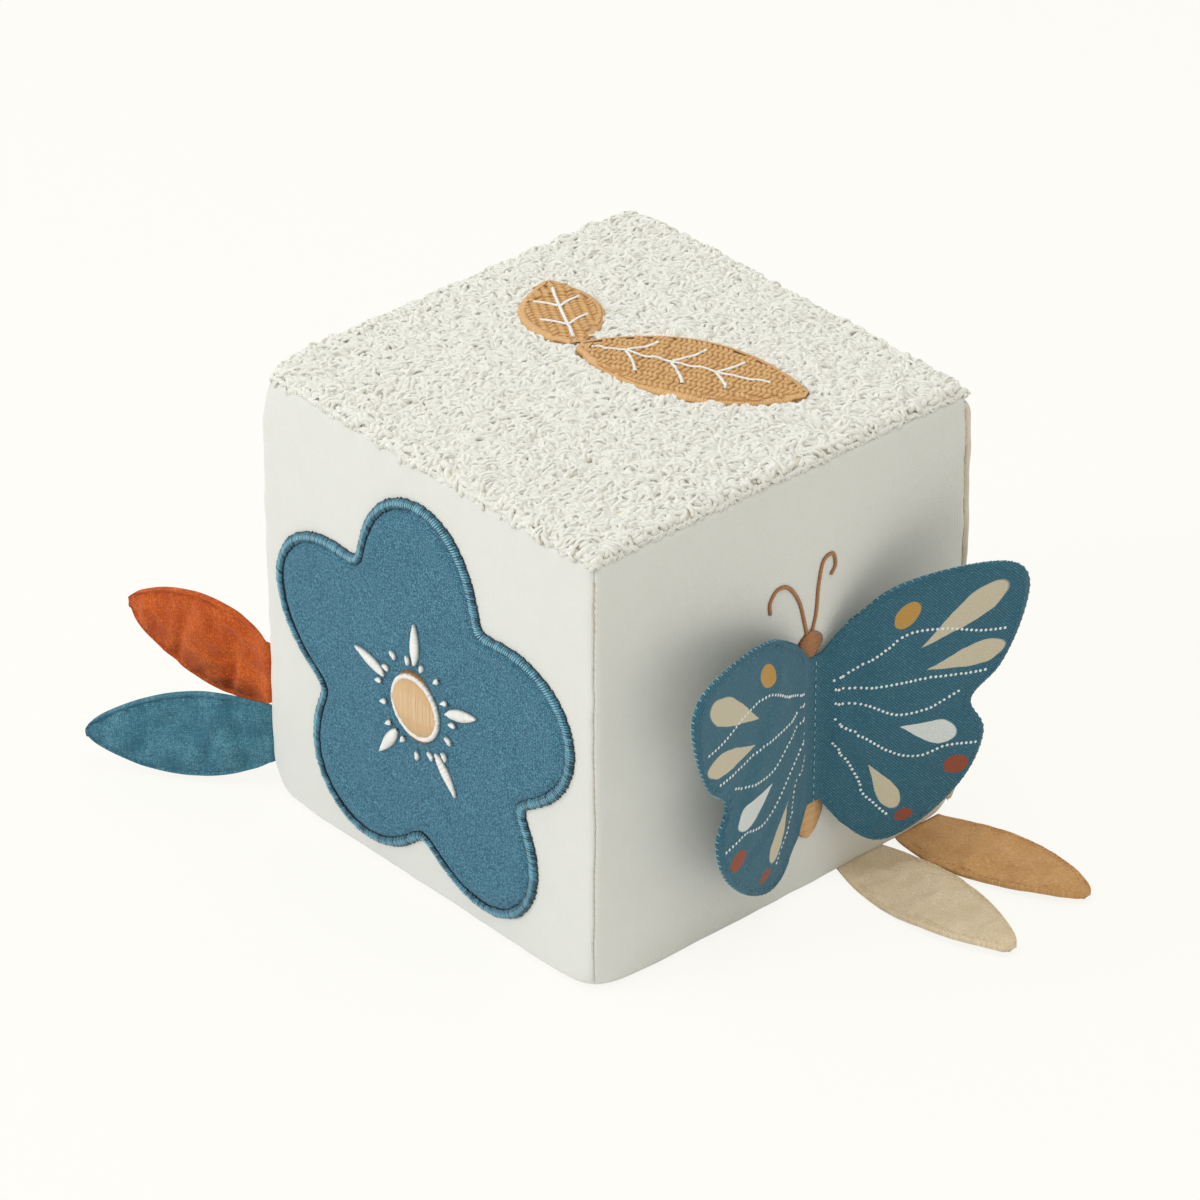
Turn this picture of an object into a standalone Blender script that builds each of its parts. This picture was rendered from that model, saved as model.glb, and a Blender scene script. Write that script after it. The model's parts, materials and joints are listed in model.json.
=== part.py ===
"""A soft activity block for a baby, in metres, +Z up, with its origin at the middle of its base.

A foam cube, split round a rattle, fills a cover sewn from six panels: five of cotton and one of terry on top.
The front (-Y) carries a flower patch with a satin-stitched edge, the top a corduroy sprig of two leaves, and the
right side (+X) a cloth butterfly, sewn down along its middle so that its wings flap. Two leaf tags are sewn into
the front left seam and two into the lower right one, and each bends where it leaves its seam.
"""

import math

import bmesh
import bpy
from mathutils import Matrix, Vector

# The block: its finished side from seam to seam, the swell of its faces and the pull at its corners.
BLOCK_SIDE = 0.150
FACE_CROWN = 0.0025
CORNER_DRAW = 0.0030
CORNER_SHARPNESS = 10

# One clearance keeps every piece off its neighbour.
CLEARANCE = 0.0003

# The cover: each panel rolls over its edge into the seam, and its allowance lies inside, along the bisector.
COTTON_THICKNESS = 0.0010
COTTON_ROLL = 0.0020
TERRY_THICKNESS = 0.0030
TERRY_PILE = 0.0022
TERRY_ROLL = 0.0036
SEAM_ALLOWANCE = 0.0040
FACE_RINGS = 4
ROLL_STEPS = 3
ROLL_TURN = math.radians(135)

# The rattle: a snapped capsule of loose beads, in a pocket between the two halves of the foam.
CAPSULE_RADIUS = 0.017
CAPSULE_HEIGHT = 0.018
CAPSULE_WALL = 0.0012
CAPSULE_EDGE = 0.0030
SPIGOT_WALL = 0.0010
SPIGOT_LENGTH = 0.0030
BEAD_RADIUS = 0.0030
BEAD_RING = 0.0070
BEAD_COUNT = 3
FOAM_CUTS = 6

# The flower patch on the front: the satin edge runs round its outline and the patch lies inside it.
FLOWER_HEIGHT = 0.068
FLOWER_MARGIN = 0.0055
PETALS = 5
PETAL_BASE_SHARE = 0.47
PETAL_NOTCH_SHARE = 0.30
PETAL_FULLNESS = 0.34
SATIN_WIDTH = 0.0034
SATIN_HEIGHT = 0.0012
PATCH_THICKNESS = 0.0008
FLOWER_EYE_RADIUS = 0.011
FLOWER_EYE_THICKNESS = 0.0010

# The corduroy sprig on the terry: two leaves that leave one stem, turned about +Z from +X.
SPRIG_STEM_X = -0.016
SPRIG_STEM_Y = -0.001
CORDUROY_THICKNESS = 0.0014
LARGE_LEAF_LENGTH = 0.072
LARGE_LEAF_WIDTH = 0.034
LARGE_LEAF_TURN = math.radians(27)
SMALL_LEAF_LENGTH = 0.040
SMALL_LEAF_WIDTH = 0.025
SMALL_LEAF_TURN = math.radians(150)
SPRIG_ROOT_SHARE = 0.16
STEM_GAP = 0.0012

# The butterfly on the right side: cloth, crinkle film and cloth, sewn down along the root of the wings.
WING_SPAN = 0.065
WING_HEIGHT = 0.092
WING_LOW = 0.0165
WING_ROOT_Y = 0.009
WING_CURL = 0.0035
WING_CLOTH = 0.0006
WING_FILM = 0.0002
FILM_INSET = 0.0030
STITCH_STRIP_WIDTH = 0.0024
RIGHT_WING_OPENING = math.radians(27)
LEFT_WING_OPENING = math.radians(19)
# The margin of a wing from the top of its root round to the foot: shares of its span and of its height.
WING_MARGIN_SHARES = (
    (0.00, 0.76),
    (0.14, 0.87),
    (0.36, 0.965),
    (0.64, 1.00),
    (0.90, 0.985),
    (1.00, 0.91),
    (0.97, 0.76),
    (0.87, 0.60),
    (0.73, 0.49),
    (0.80, 0.36),
    (0.72, 0.20),
    (0.52, 0.06),
    (0.30, 0.00),
    (0.13, 0.08),
    (0.00, 0.20),
)

# The leaf tags: two cloths sewn round and turned, a little padded, each root sewn into a seam.
LEAF_LENGTH = 0.060
LEAF_WIDTH = 0.028
LEAF_ROOT_WIDTH = 0.021
LEAF_CLOTH = 0.0006
LEAF_PUFF = 0.0006
LEAF_ARCH = 0.0022
LEAF_TIP_TURN_SHARE = 0.985
LEAF_FULLNESS = 0.8
LEAF_OVERRUN = 0.0004
TAB_THICKNESS = 0.0012
TAG_STANDOFF = 0.0005
SIDE_TAG_LOW = 0.0085
SIDE_TAG_PITCH = 0.0265
FLOOR_TAG_STANDOFF = 0.0010
FLOOR_TAG_MARGIN = 0.0050
FLOOR_TAG_SPACING = 0.0010
BLUE_LEAF_HEADING = math.radians(211)
BLUE_LEAF_LEAN = math.radians(-5)
RUST_LEAF_HEADING = math.radians(189)
RUST_LEAF_LEAN = math.radians(3)
TAN_LEAF_LEAN = math.radians(11)
CREAM_LEAF_LEAN = math.radians(-1)

HALF = BLOCK_SIDE / 2
ROOT_TWO = math.sqrt(2)
WELD = 0.00002

COLOURS = {
    "natural_cotton": ("#E9E8E1", 0.90),
    "terry": ("#EDEAE0", 0.95),
    "foam": ("#F2EBCB", 0.95),
    "capsule_plastic": ("#DDE3E6", 0.40),
    "bead_plastic": ("#C9573A", 0.40),
    "blue_cotton": ("#4B7B92", 0.85),
    "blue_satin": ("#3F768E", 0.50),
    "tan_corduroy": ("#D29E63", 0.90),
    "tan_cotton": ("#C89A68", 0.85),
    "blue_twill": ("#2F6080", 0.85),
    "crinkle_film": ("#E6E9EA", 0.25),
    "rust_cotton": ("#BF5528", 0.85),
    "cream_cotton": ("#DCCBAA", 0.88),
}


def clear_scene():
    for leftover in list(bpy.data.objects):
        bpy.data.objects.remove(leftover)


def linear_colour(code):
    """An sRGB hex colour as the linear red, green, blue and alpha that a shader takes."""
    channels = [int(code[i : i + 2], 16) / 255 for i in (1, 3, 5)]
    return [c / 12.92 if c <= 0.04045 else ((c + 0.055) / 1.055) ** 2.4 for c in channels] + [1.0]


def material(name):
    """The named cloth, foam or plastic, made once."""
    found = bpy.data.materials.get(name)
    if found:
        return found
    code, roughness = COLOURS[name]
    made = bpy.data.materials.new(name)
    made.use_nodes = True
    shader = made.node_tree.nodes["Principled BSDF"]
    shader.inputs["Base Color"].default_value = linear_colour(code)
    shader.inputs["Roughness"].default_value = roughness
    shader.inputs["Metallic"].default_value = 0.0
    made.diffuse_color = linear_colour(code)
    return made


def new_object(name, bm, material_name, collection, hinge=None):
    """An object from a bmesh, smooth shaded, in a collection, and carried by a hinge empty if it moves."""
    mesh = bpy.data.meshes.new(name)
    bm.to_mesh(mesh)
    bm.free()
    mesh.materials.append(material(material_name))
    mesh.shade_smooth()
    mesh.set_sharp_from_angle(angle=math.radians(40))
    made = bpy.data.objects.new(name, mesh)
    collection.objects.link(made)
    made.parent = hinge
    return made


def soft_shape(point):
    """Where a point of the plain cube lies once the block is stuffed: its faces swell and its corners draw in.

    The base stays flat, so below the middle of the height nothing moves along Z.
    """
    x, y, z = point.x / HALF, point.y / HALF, point.z / HALF - 1
    fall = [max(0.0, 1 - c * c) for c in (x, y, z)]
    swell = Vector((x * fall[1] * fall[2], y * fall[0] * fall[2], max(z, 0.0) * fall[0] * fall[1]))
    draw = min(1.0, abs(x * y * z)) ** CORNER_SHARPNESS
    return point + swell * FACE_CROWN - Vector((x, y, max(z, 0.0))).normalized() * draw * CORNER_DRAW


def mapped_grid(columns, rows, place):
    """A grid whose corners run from -1 to 1 both ways, with each vertex moved to place(u, v) and doubles merged."""
    bm = bmesh.new()
    bmesh.ops.create_grid(bm, x_segments=columns, y_segments=rows, size=1)
    for vertex in bm.verts:
        vertex.co = place(vertex.co.x, vertex.co.y)
    bmesh.ops.remove_doubles(bm, verts=bm.verts, dist=WELD)
    bmesh.ops.dissolve_degenerate(bm, edges=bm.edges, dist=WELD)
    return bm


def cloth(name, bm, facing, thickness, material_name, collection, hinge=None):
    """A cloth of one thickness, which grows from the mapped surface towards the side that it faces."""
    bm.normal_update()
    if sum((face.normal * face.calc_area() for face in bm.faces), Vector()).dot(facing) < 0:
        bmesh.ops.reverse_faces(bm, faces=bm.faces)
    made = new_object(name, bm, material_name, collection, hinge)
    wall = made.modifiers.new("cloth_thickness", "SOLIDIFY")
    wall.thickness = thickness
    wall.offset = 1
    wall.use_even_offset = True
    return made


def closed_body(name, bm, material_name, collection, hinge=None):
    """A body whose surface is already closed, with its faces turned outwards."""
    bmesh.ops.recalc_face_normals(bm, faces=bm.faces)
    return new_object(name, bm, material_name, collection, hinge)


def panel_profile(lift, roll):
    """(reach, height) of a panel's rings from its middle outwards, over its roll and down its seam allowance.

    The roll ends on the bisector of the two faces, half a clearance short of the neighbouring panel.
    """
    height = HALF + lift
    centre_reach = height - roll - ROOT_TWO * (roll + CLEARANCE / 2)
    centre_height = height - roll
    rings = [(centre_reach * i / FACE_RINGS, height) for i in range(FACE_RINGS + 1)]
    for i in range(1, ROLL_STEPS + 1):
        turn = ROLL_TURN * i / ROLL_STEPS
        rings.append((centre_reach + roll * math.sin(turn), centre_height + roll * math.cos(turn)))
    reach, depth = rings[-1]
    rings.append((reach - SEAM_ALLOWANCE / ROOT_TWO, depth - SEAM_ALLOWANCE / ROOT_TWO))
    return rings


def cover_panel(name, turn, lift, roll, thickness, material_name, collection):
    """One square of the cover, made facing +Z and turned to its side of the block."""
    rings = panel_profile(lift, roll)
    last = len(rings) - 1

    def place(u, v):
        share = max(abs(u), abs(v))
        reach, height = rings[round(share * last)]
        side = reach / share if share else 0.0
        return soft_shape(turn @ Vector((u * side, v * side, height)) + Vector((0, 0, HALF)))

    bm = mapped_grid(2 * last, 2 * last, place)
    made = cloth(name, bm, turn @ Vector((0, 0, 1)), thickness, material_name, collection)
    made.modifiers["cloth_thickness"].offset = -1
    return made


def build_cover(collection):
    """Five cotton panels and the terry top, whose pile stands above the seams."""
    turns = {
        "panel_front": Matrix.Rotation(math.radians(90), 3, "X"),
        "panel_back": Matrix.Rotation(math.radians(-90), 3, "X"),
        "panel_right": Matrix.Rotation(math.radians(90), 3, "Y"),
        "panel_left": Matrix.Rotation(math.radians(-90), 3, "Y"),
        "panel_base": Matrix.Rotation(math.radians(180), 3, "X"),
    }
    for name, turn in turns.items():
        cover_panel(name, turn, 0, COTTON_ROLL, COTTON_THICKNESS, "natural_cotton", collection)
    upright = Matrix.Identity(3)
    cover_panel("terry_top", upright, TERRY_PILE, TERRY_ROLL, TERRY_THICKNESS, "terry", collection)


def foam_block():
    """The whole foam, its edges cut back to clear the seam allowances, with rows of vertices to take the swell."""
    reach = HALF - COTTON_THICKNESS - CLEARANCE
    top = BLOCK_SIDE + TERRY_PILE - TERRY_THICKNESS - CLEARANCE
    foot = COTTON_THICKNESS + CLEARANCE
    bm = bmesh.new()
    bmesh.ops.create_cube(bm, size=2)
    bmesh.ops.scale(bm, vec=(reach, reach, (top - foot) / 2), verts=bm.verts)
    bmesh.ops.translate(bm, vec=(0, 0, (top + foot) / 2), verts=bm.verts)
    seam_reach, seam_height = panel_profile(TERRY_PILE, TERRY_ROLL)[-1]
    chamfer = reach + top - HALF - seam_reach - seam_height + ROOT_TWO * CLEARANCE
    bmesh.ops.bevel(bm, geom=bm.edges[:], offset=chamfer, segments=1, profile=0.5, affect="EDGES", material=-1)
    for axis in range(3):
        normal = Vector((axis == 0, axis == 1, axis == 2))
        for i in range(1, FOAM_CUTS):
            along = BLOCK_SIDE * i / FOAM_CUTS - (HALF if axis < 2 else 0)
            geometry = bm.verts[:] + bm.edges[:] + bm.faces[:]
            bmesh.ops.bisect_plane(bm, geom=geometry, dist=WELD, plane_co=normal * along, plane_no=normal)
    return bm


def foam_half(name, upper, pocket, collection):
    """The foam below or above the level that the rattle is put in at, hollowed for its half of the capsule."""
    bm = foam_block()
    side = 1 if upper else -1
    cut_height = HALF + side * CLEARANCE / 2
    geometry = bm.verts[:] + bm.edges[:] + bm.faces[:]
    cut = (0, 0, cut_height)
    bmesh.ops.bisect_plane(bm, geom=geometry, dist=WELD, plane_co=cut, plane_no=(0, 0, -side), clear_outer=True)
    bmesh.ops.holes_fill(bm, edges=[edge for edge in bm.edges if edge.is_boundary], sides=0)
    for vertex in bm.verts:
        vertex.co = soft_shape(vertex.co)
    made = closed_body(name, bm, "foam", collection)
    hollow = made.modifiers.new("rattle_pocket", "BOOLEAN")
    hollow.operation = "DIFFERENCE"
    hollow.solver = "EXACT"
    hollow.object = pocket
    return made


def turned(name, profile, material_name, collection):
    """A turned piece: the (radius, height) profile runs down its outer side, round +Z through the block's middle."""
    bm = bmesh.new()
    corners = [bm.verts.new((radius, 0, height)) for radius, height in profile]
    for first, second in zip(corners, corners[1:]):
        bm.edges.new((first, second))
    made = new_object(name, bm, material_name, collection)
    made.location = (0, 0, HALF)
    spin = made.modifiers.new("turning", "SCREW")
    spin.steps = 20
    spin.render_steps = 20
    spin.use_merge_vertices = True
    spin.merge_threshold = WELD
    return made


def build_rattle(collection):
    """The capsule's cup and lid, which snap together on a spigot, and the beads that lie loose inside."""
    half_height = CAPSULE_HEIGHT / 2
    joint = CLEARANCE / 2
    inner = CAPSULE_RADIUS - CAPSULE_WALL
    floor = half_height - CAPSULE_WALL
    cup = [
        (0, -floor),
        (inner, -floor),
        (inner, -joint),
        (CAPSULE_RADIUS, -joint),
        (CAPSULE_RADIUS, -half_height + CAPSULE_EDGE),
        (CAPSULE_RADIUS - CAPSULE_EDGE, -half_height),
        (0, -half_height),
    ]
    spigot_outer = inner - CLEARANCE
    spigot_inner = spigot_outer - SPIGOT_WALL
    lid = [
        (0, half_height),
        (CAPSULE_RADIUS - CAPSULE_EDGE, half_height),
        (CAPSULE_RADIUS, half_height - CAPSULE_EDGE),
        (CAPSULE_RADIUS, joint),
        (spigot_outer, joint),
        (spigot_outer, -SPIGOT_LENGTH),
        (spigot_inner, -SPIGOT_LENGTH),
        (spigot_inner, floor),
        (0, floor),
    ]
    turned("rattle_cup", cup, "capsule_plastic", collection)
    turned("rattle_lid", lid, "capsule_plastic", collection)
    for i in range(BEAD_COUNT):
        around = math.tau * i / BEAD_COUNT
        bm = bmesh.new()
        bmesh.ops.create_uvsphere(bm, u_segments=10, v_segments=6, radius=BEAD_RADIUS)
        bead = closed_body(f"rattle_bead_{i + 1}", bm, "bead_plastic", collection)
        height = HALF - floor + CLEARANCE + BEAD_RADIUS
        bead.location = (BEAD_RING * math.cos(around), BEAD_RING * math.sin(around), height)


def build_filling(collection, cutters):
    """The foam and the rattle in its pocket."""
    bm = bmesh.new()
    depth = CAPSULE_HEIGHT + 2 * CLEARANCE
    radius = CAPSULE_RADIUS + CLEARANCE
    bmesh.ops.create_cone(bm, cap_ends=True, segments=20, radius1=radius, radius2=radius, depth=depth)
    pocket = closed_body("pocket_cutter", bm, "foam", cutters)
    pocket.location = (0, 0, HALF)
    pocket.hide_render = True
    pocket.display_type = "WIRE"
    foam_half("foam_lower", False, pocket, collection)
    foam_half("foam_upper", True, pocket, collection)
    build_rattle(collection)


def flower_outline(turn):
    """The middle of the satin edge, as (x, z) from the flower's centre, at a turn from straight up."""
    swing = math.cos(PETALS * turn / 2) ** 2 + PETAL_NOTCH_SHARE**2
    lobe = (swing / (1 + PETAL_NOTCH_SHARE**2)) ** PETAL_FULLNESS
    reach = HALF - FLOWER_MARGIN - SATIN_WIDTH / 2
    radius = reach * (PETAL_BASE_SHARE + (1 - PETAL_BASE_SHARE) * lobe)
    return Vector((radius * math.sin(turn), radius * math.cos(turn)))


def flower_offset(turn, distance):
    """A point at that distance outside the outline, measured square to it."""
    step = math.radians(0.5)
    tangent = (flower_outline(turn + step) - flower_outline(turn - step)).normalized()
    return flower_outline(turn) + Vector((-tangent.y, tangent.x)) * distance


def on_front(point, lift):
    """The place on the front of the block of an (x, z) point from the flower's centre, lifted off the cotton."""
    return soft_shape(Vector((point.x, -HALF - lift, FLOWER_HEIGHT + point.y)))


def build_flower(collection):
    """The petal cloth, its satin-stitched edge and the stitched eye."""
    forward = Vector((0, -1, 0))
    inset = SATIN_WIDTH / 2 + CLEARANCE

    def petals(u, v):
        return on_front(flower_offset(math.pi * u, -inset) * (v + 1) / 2, CLEARANCE)

    bm = mapped_grid(12 * PETALS, 5, petals)
    cloth("flower_patch", bm, forward, PATCH_THICKNESS, "blue_cotton", collection)

    def satin(u, v):
        across = math.pi * v
        lift = CLEARANCE + SATIN_HEIGHT * (1 + math.sin(across)) / 2
        return on_front(flower_offset(math.pi * u, SATIN_WIDTH / 2 * math.cos(across)), lift)

    closed_body("flower_satin_edge", mapped_grid(12 * PETALS, 6, satin), "blue_satin", collection)

    def eye(u, v):
        radius = FLOWER_EYE_RADIUS * (v + 1) / 2
        spot = Vector((radius * math.sin(math.pi * u), radius * math.cos(math.pi * u)))
        return on_front(spot, CLEARANCE + PATCH_THICKNESS + CLEARANCE)

    cloth("flower_eye", mapped_grid(20, 3, eye), forward, FLOWER_EYE_THICKNESS, "tan_cotton", collection)


def leaf_half_width(share, width, root_share):
    """Half the width of a pointed leaf at a share of its length, from its cut root to its rounded tip."""
    root_turn = math.asin(root_share ** (1 / LEAF_FULLNESS)) / math.pi
    turn = math.pi * (root_turn + (LEAF_TIP_TURN_SHARE - root_turn) * share)
    return width / 2 * math.sin(turn) ** LEAF_FULLNESS


def build_sprig(collection):
    """The two corduroy leaves that are sewn down on the terry, each a little way from their stem."""
    leaves = (
        ("corduroy_leaf_large", LARGE_LEAF_LENGTH, LARGE_LEAF_WIDTH, LARGE_LEAF_TURN),
        ("corduroy_leaf_small", SMALL_LEAF_LENGTH, SMALL_LEAF_WIDTH, SMALL_LEAF_TURN),
    )
    level = BLOCK_SIDE + TERRY_PILE + CLEARANCE
    for name, length, width, turn in leaves:
        along = Vector((math.cos(turn), math.sin(turn), 0))
        across = Vector((-math.sin(turn), math.cos(turn), 0))
        stem = Vector((SPRIG_STEM_X, SPRIG_STEM_Y, level)) + along * STEM_GAP

        def place(u, v):
            share = (u + 1) / 2
            side = v * leaf_half_width(share, width, SPRIG_ROOT_SHARE)
            return soft_shape(stem + along * share * length + across * side)

        bm = mapped_grid(12, 6, place)
        cloth(name, bm, Vector((0, 0, 1)), CORDUROY_THICKNESS, "tan_corduroy", collection)


def hinge_empty(name, location, rotation, collection):
    """The empty that carries a moving piece: it sits on the joint's axis and is turned to the rest pose."""
    hinge = bpy.data.objects.new(name, None)
    collection.objects.link(hinge)
    hinge.location = location
    hinge.rotation_euler = rotation
    return hinge


def margin_point(share):
    """The wing's margin at a share of the way round, on a smooth curve through its corners."""
    spans = len(WING_MARGIN_SHARES) - 1
    at = min(share * spans, spans - WELD)
    first = int(at)
    t = at - first
    near = [WING_MARGIN_SHARES[min(max(first + k, 0), spans)] for k in (-1, 0, 1, 2)]
    a, b, c, d = (Vector((corner[0] * WING_SPAN, corner[1] * WING_HEIGHT)) for corner in near)
    return b + (c - a) * t / 2 + (a * 2 - b * 5 + c * 4 - d) * t**2 / 2 + (b * 3 - a - c * 3 + d) * t**3 / 2


def build_wing(side, opening, collection):
    """One wing: cloth, film and cloth. Its hinge lies along its root, beside the strip that is sewn down.

    In the hinge's own frame X runs out along the wing, Z up, and Y square to it. Side is 1 for the wing towards
    +Y and -1 for the other, whose Y points away from the block.
    """
    thickness = 2 * WING_CLOTH + WING_FILM + 2 * CLEARANCE
    hinge_x = HALF + FACE_CROWN + CLEARANCE + thickness / 2
    hinge_y = WING_ROOT_Y + side * (STITCH_STRIP_WIDTH / 2 + CLEARANCE + thickness / 2)
    name = "right_wing" if side > 0 else "left_wing"
    turn = side * (math.pi / 2 - opening)
    hinge = hinge_empty(f"{name}_hinge", (hinge_x, hinge_y, WING_LOW), (0, 0, turn), collection)
    outward = -side
    root_top, root_low = WING_MARGIN_SHARES[0][1] * WING_HEIGHT, WING_MARGIN_SHARES[-1][1] * WING_HEIGHT

    def layer(offset, inset, rows):
        def place(u, v):
            share = (v + 1) / 2
            root = Vector((0, root_top + (root_low - root_top) * share))
            margin = margin_point(share)
            centre = Vector((WING_SPAN, WING_HEIGHT)) / 2
            point = root.lerp(margin, (u + 1) / 2)
            point += (centre - point).normalized() * inset
            curl = WING_CURL * (point.x / WING_SPAN) ** 2
            return Vector((point.x, outward * (offset - curl), point.y))

        return mapped_grid(5, rows, place)

    front = Vector((0, outward, 0))
    spans = len(WING_MARGIN_SHARES) - 1
    cloth_offset = WING_FILM / 2 + CLEARANCE
    parts = (
        ("front_cloth", layer(cloth_offset, 0, 2 * spans), front, WING_CLOTH, "blue_twill"),
        ("crinkle_film", layer(-WING_FILM / 2, FILM_INSET, spans), front, WING_FILM, "crinkle_film"),
        ("back_cloth", layer(-cloth_offset, 0, 2 * spans), -front, WING_CLOTH, "blue_twill"),
    )
    for part, bm, facing, depth, material_name in parts:
        cloth(f"{name}_{part}", bm, facing, depth, material_name, collection, hinge)


def build_butterfly(collection):
    """The strip that is stitched to the side of the block, and the wing on each side of it."""
    thickness = 2 * WING_CLOTH + WING_FILM + 2 * CLEARANCE
    top, low = WING_MARGIN_SHARES[0][1], WING_MARGIN_SHARES[-1][1]

    def strip(u, v):
        height = WING_LOW + WING_HEIGHT * (low + (top - low) * (v + 1) / 2)
        return soft_shape(Vector((HALF + CLEARANCE, WING_ROOT_Y + u * STITCH_STRIP_WIDTH / 2, height)))

    bm = mapped_grid(1, 6, strip)
    cloth("wing_stitch_strip", bm, Vector((1, 0, 0)), thickness, "blue_twill", collection)
    build_wing(1, RIGHT_WING_OPENING, collection)
    build_wing(-1, LEFT_WING_OPENING, collection)


def leaf_blade(name, lean, material_name, collection, hinge):
    """The two cloths of a leaf tag. In the hinge's frame X runs out, Z along the seam and Y square to the blade."""
    root_share = LEAF_ROOT_WIDTH / LEAF_WIDTH

    def layer(side):
        def place(u, v):
            share = (u + 1) / 2
            out = (LEAF_LENGTH + LEAF_OVERRUN) * share - LEAF_OVERRUN
            along = v * leaf_half_width(share, LEAF_WIDTH, root_share)
            puff = LEAF_PUFF * (1 - v * v) * math.sin(math.pi * share)
            arch = LEAF_ARCH * math.sin(math.pi * share / 2) ** 2
            return Vector((out * math.cos(lean), arch + side * (CLEARANCE / 2 + puff), along + out * math.sin(lean)))

        return mapped_grid(9, 6, place)

    cloth(f"{name}_front", layer(1), Vector((0, 1, 0)), LEAF_CLOTH, material_name, collection, hinge)
    cloth(f"{name}_back", layer(-1), Vector((0, -1, 0)), LEAF_CLOTH, material_name, collection, hinge)


def seam_tab(name, centre, size, turn, material_name, collection):
    """The sewn-in root of a leaf tag: a short bar that fills the valley between two rolled panels."""
    bm = bmesh.new()
    bmesh.ops.create_cube(bm, size=1)
    bmesh.ops.scale(bm, vec=size, verts=bm.verts)
    made = closed_body(name, bm, material_name, collection)
    made.location = centre
    made.rotation_euler = turn
    return made


def valley_reach():
    """How far out along the bisector a tab can start, between the rolls of two cotton panels.

    It is measured from the sharp corner that the two faces would meet in, so it is negative.
    """
    roll_centre = -ROOT_TWO * COTTON_ROLL - (COTTON_ROLL + CLEARANCE / 2)
    opening = COTTON_ROLL + CLEARANCE / 2 - TAB_THICKNESS / 2 - CLEARANCE
    return roll_centre + math.sqrt(COTTON_ROLL**2 - opening**2)


def build_side_tags(collection):
    """The blue and the rust leaf in the front left seam. The hinge stands just outside the corner."""
    bisector = Vector((-1, -1, 0)).normalized()
    corner = Vector((-HALF, -HALF, 0))
    swing = math.hypot(LEAF_OVERRUN, LEAF_CLOTH + CLEARANCE / 2) + CLEARANCE
    start, end = valley_reach(), TAG_STANDOFF - swing
    tags = (
        ("blue_leaf", 0, BLUE_LEAF_HEADING, BLUE_LEAF_LEAN, "blue_cotton"),
        ("rust_leaf", 1, RUST_LEAF_HEADING, RUST_LEAF_LEAN, "rust_cotton"),
    )
    for name, place, heading, lean, material_name in tags:
        height = SIDE_TAG_LOW + LEAF_ROOT_WIDTH / 2 + place * SIDE_TAG_PITCH
        root = corner + Vector((0, 0, height))
        size = (end - start, TAB_THICKNESS, LEAF_ROOT_WIDTH)
        middle = root + bisector * (start + end) / 2
        seam_tab(f"{name}_tab", middle, size, (0, 0, math.radians(45)), material_name, collection)
        axis = root + bisector * TAG_STANDOFF
        hinge = hinge_empty(f"{name}_hinge", axis, (0, 0, heading), collection)
        leaf_blade(name, lean, material_name, collection, hinge)


def build_floor_tags(collection):
    """The tan and the cream leaf in the lower right seam, which lie on whatever the block stands on.

    Their hinge runs along Y, just outside the right face and one cloth above the floor.
    """
    level = LEAF_CLOTH + CLEARANCE / 2 + CLEARANCE
    axis_x = HALF + FLOOR_TAG_STANDOFF
    swing = math.hypot(LEAF_OVERRUN, LEAF_CLOTH + CLEARANCE / 2) + CLEARANCE
    start = HALF - COTTON_ROLL - ROOT_TWO * (COTTON_ROLL + CLEARANCE / 2) + COTTON_ROLL + CLEARANCE
    end = axis_x - swing
    tan_y = HALF - FLOOR_TAG_MARGIN - LEAF_ROOT_WIDTH / 2
    cream_y = tan_y - LEAF_WIDTH + (LEAF_WIDTH - LEAF_ROOT_WIDTH) / 2 - FLOOR_TAG_SPACING
    tags = (
        ("tan_leaf", tan_y, TAN_LEAF_LEAN, "tan_cotton"),
        ("cream_leaf", cream_y, CREAM_LEAF_LEAN, "cream_cotton"),
    )
    for name, y, lean, material_name in tags:
        size = (end - start, LEAF_ROOT_WIDTH, TAB_THICKNESS)
        seam_tab(f"{name}_tab", ((start + end) / 2, y, level), size, (0, 0, 0), material_name, collection)
        hinge = hinge_empty(f"{name}_hinge", (axis_x, y, level), (math.radians(90), 0, 0), collection)
        leaf_blade(name, -lean, material_name, collection, hinge)


def build_block():
    clear_scene()
    block = bpy.data.collections.new("soft_activity_block")
    cutters = bpy.data.collections.new("cutters")
    for collection in (block, cutters):
        bpy.context.scene.collection.children.link(collection)
    build_cover(block)
    build_filling(block, cutters)
    build_flower(block)
    build_sprig(block)
    build_butterfly(block)
    build_side_tags(block)
    build_floor_tags(block)


build_block()
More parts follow.
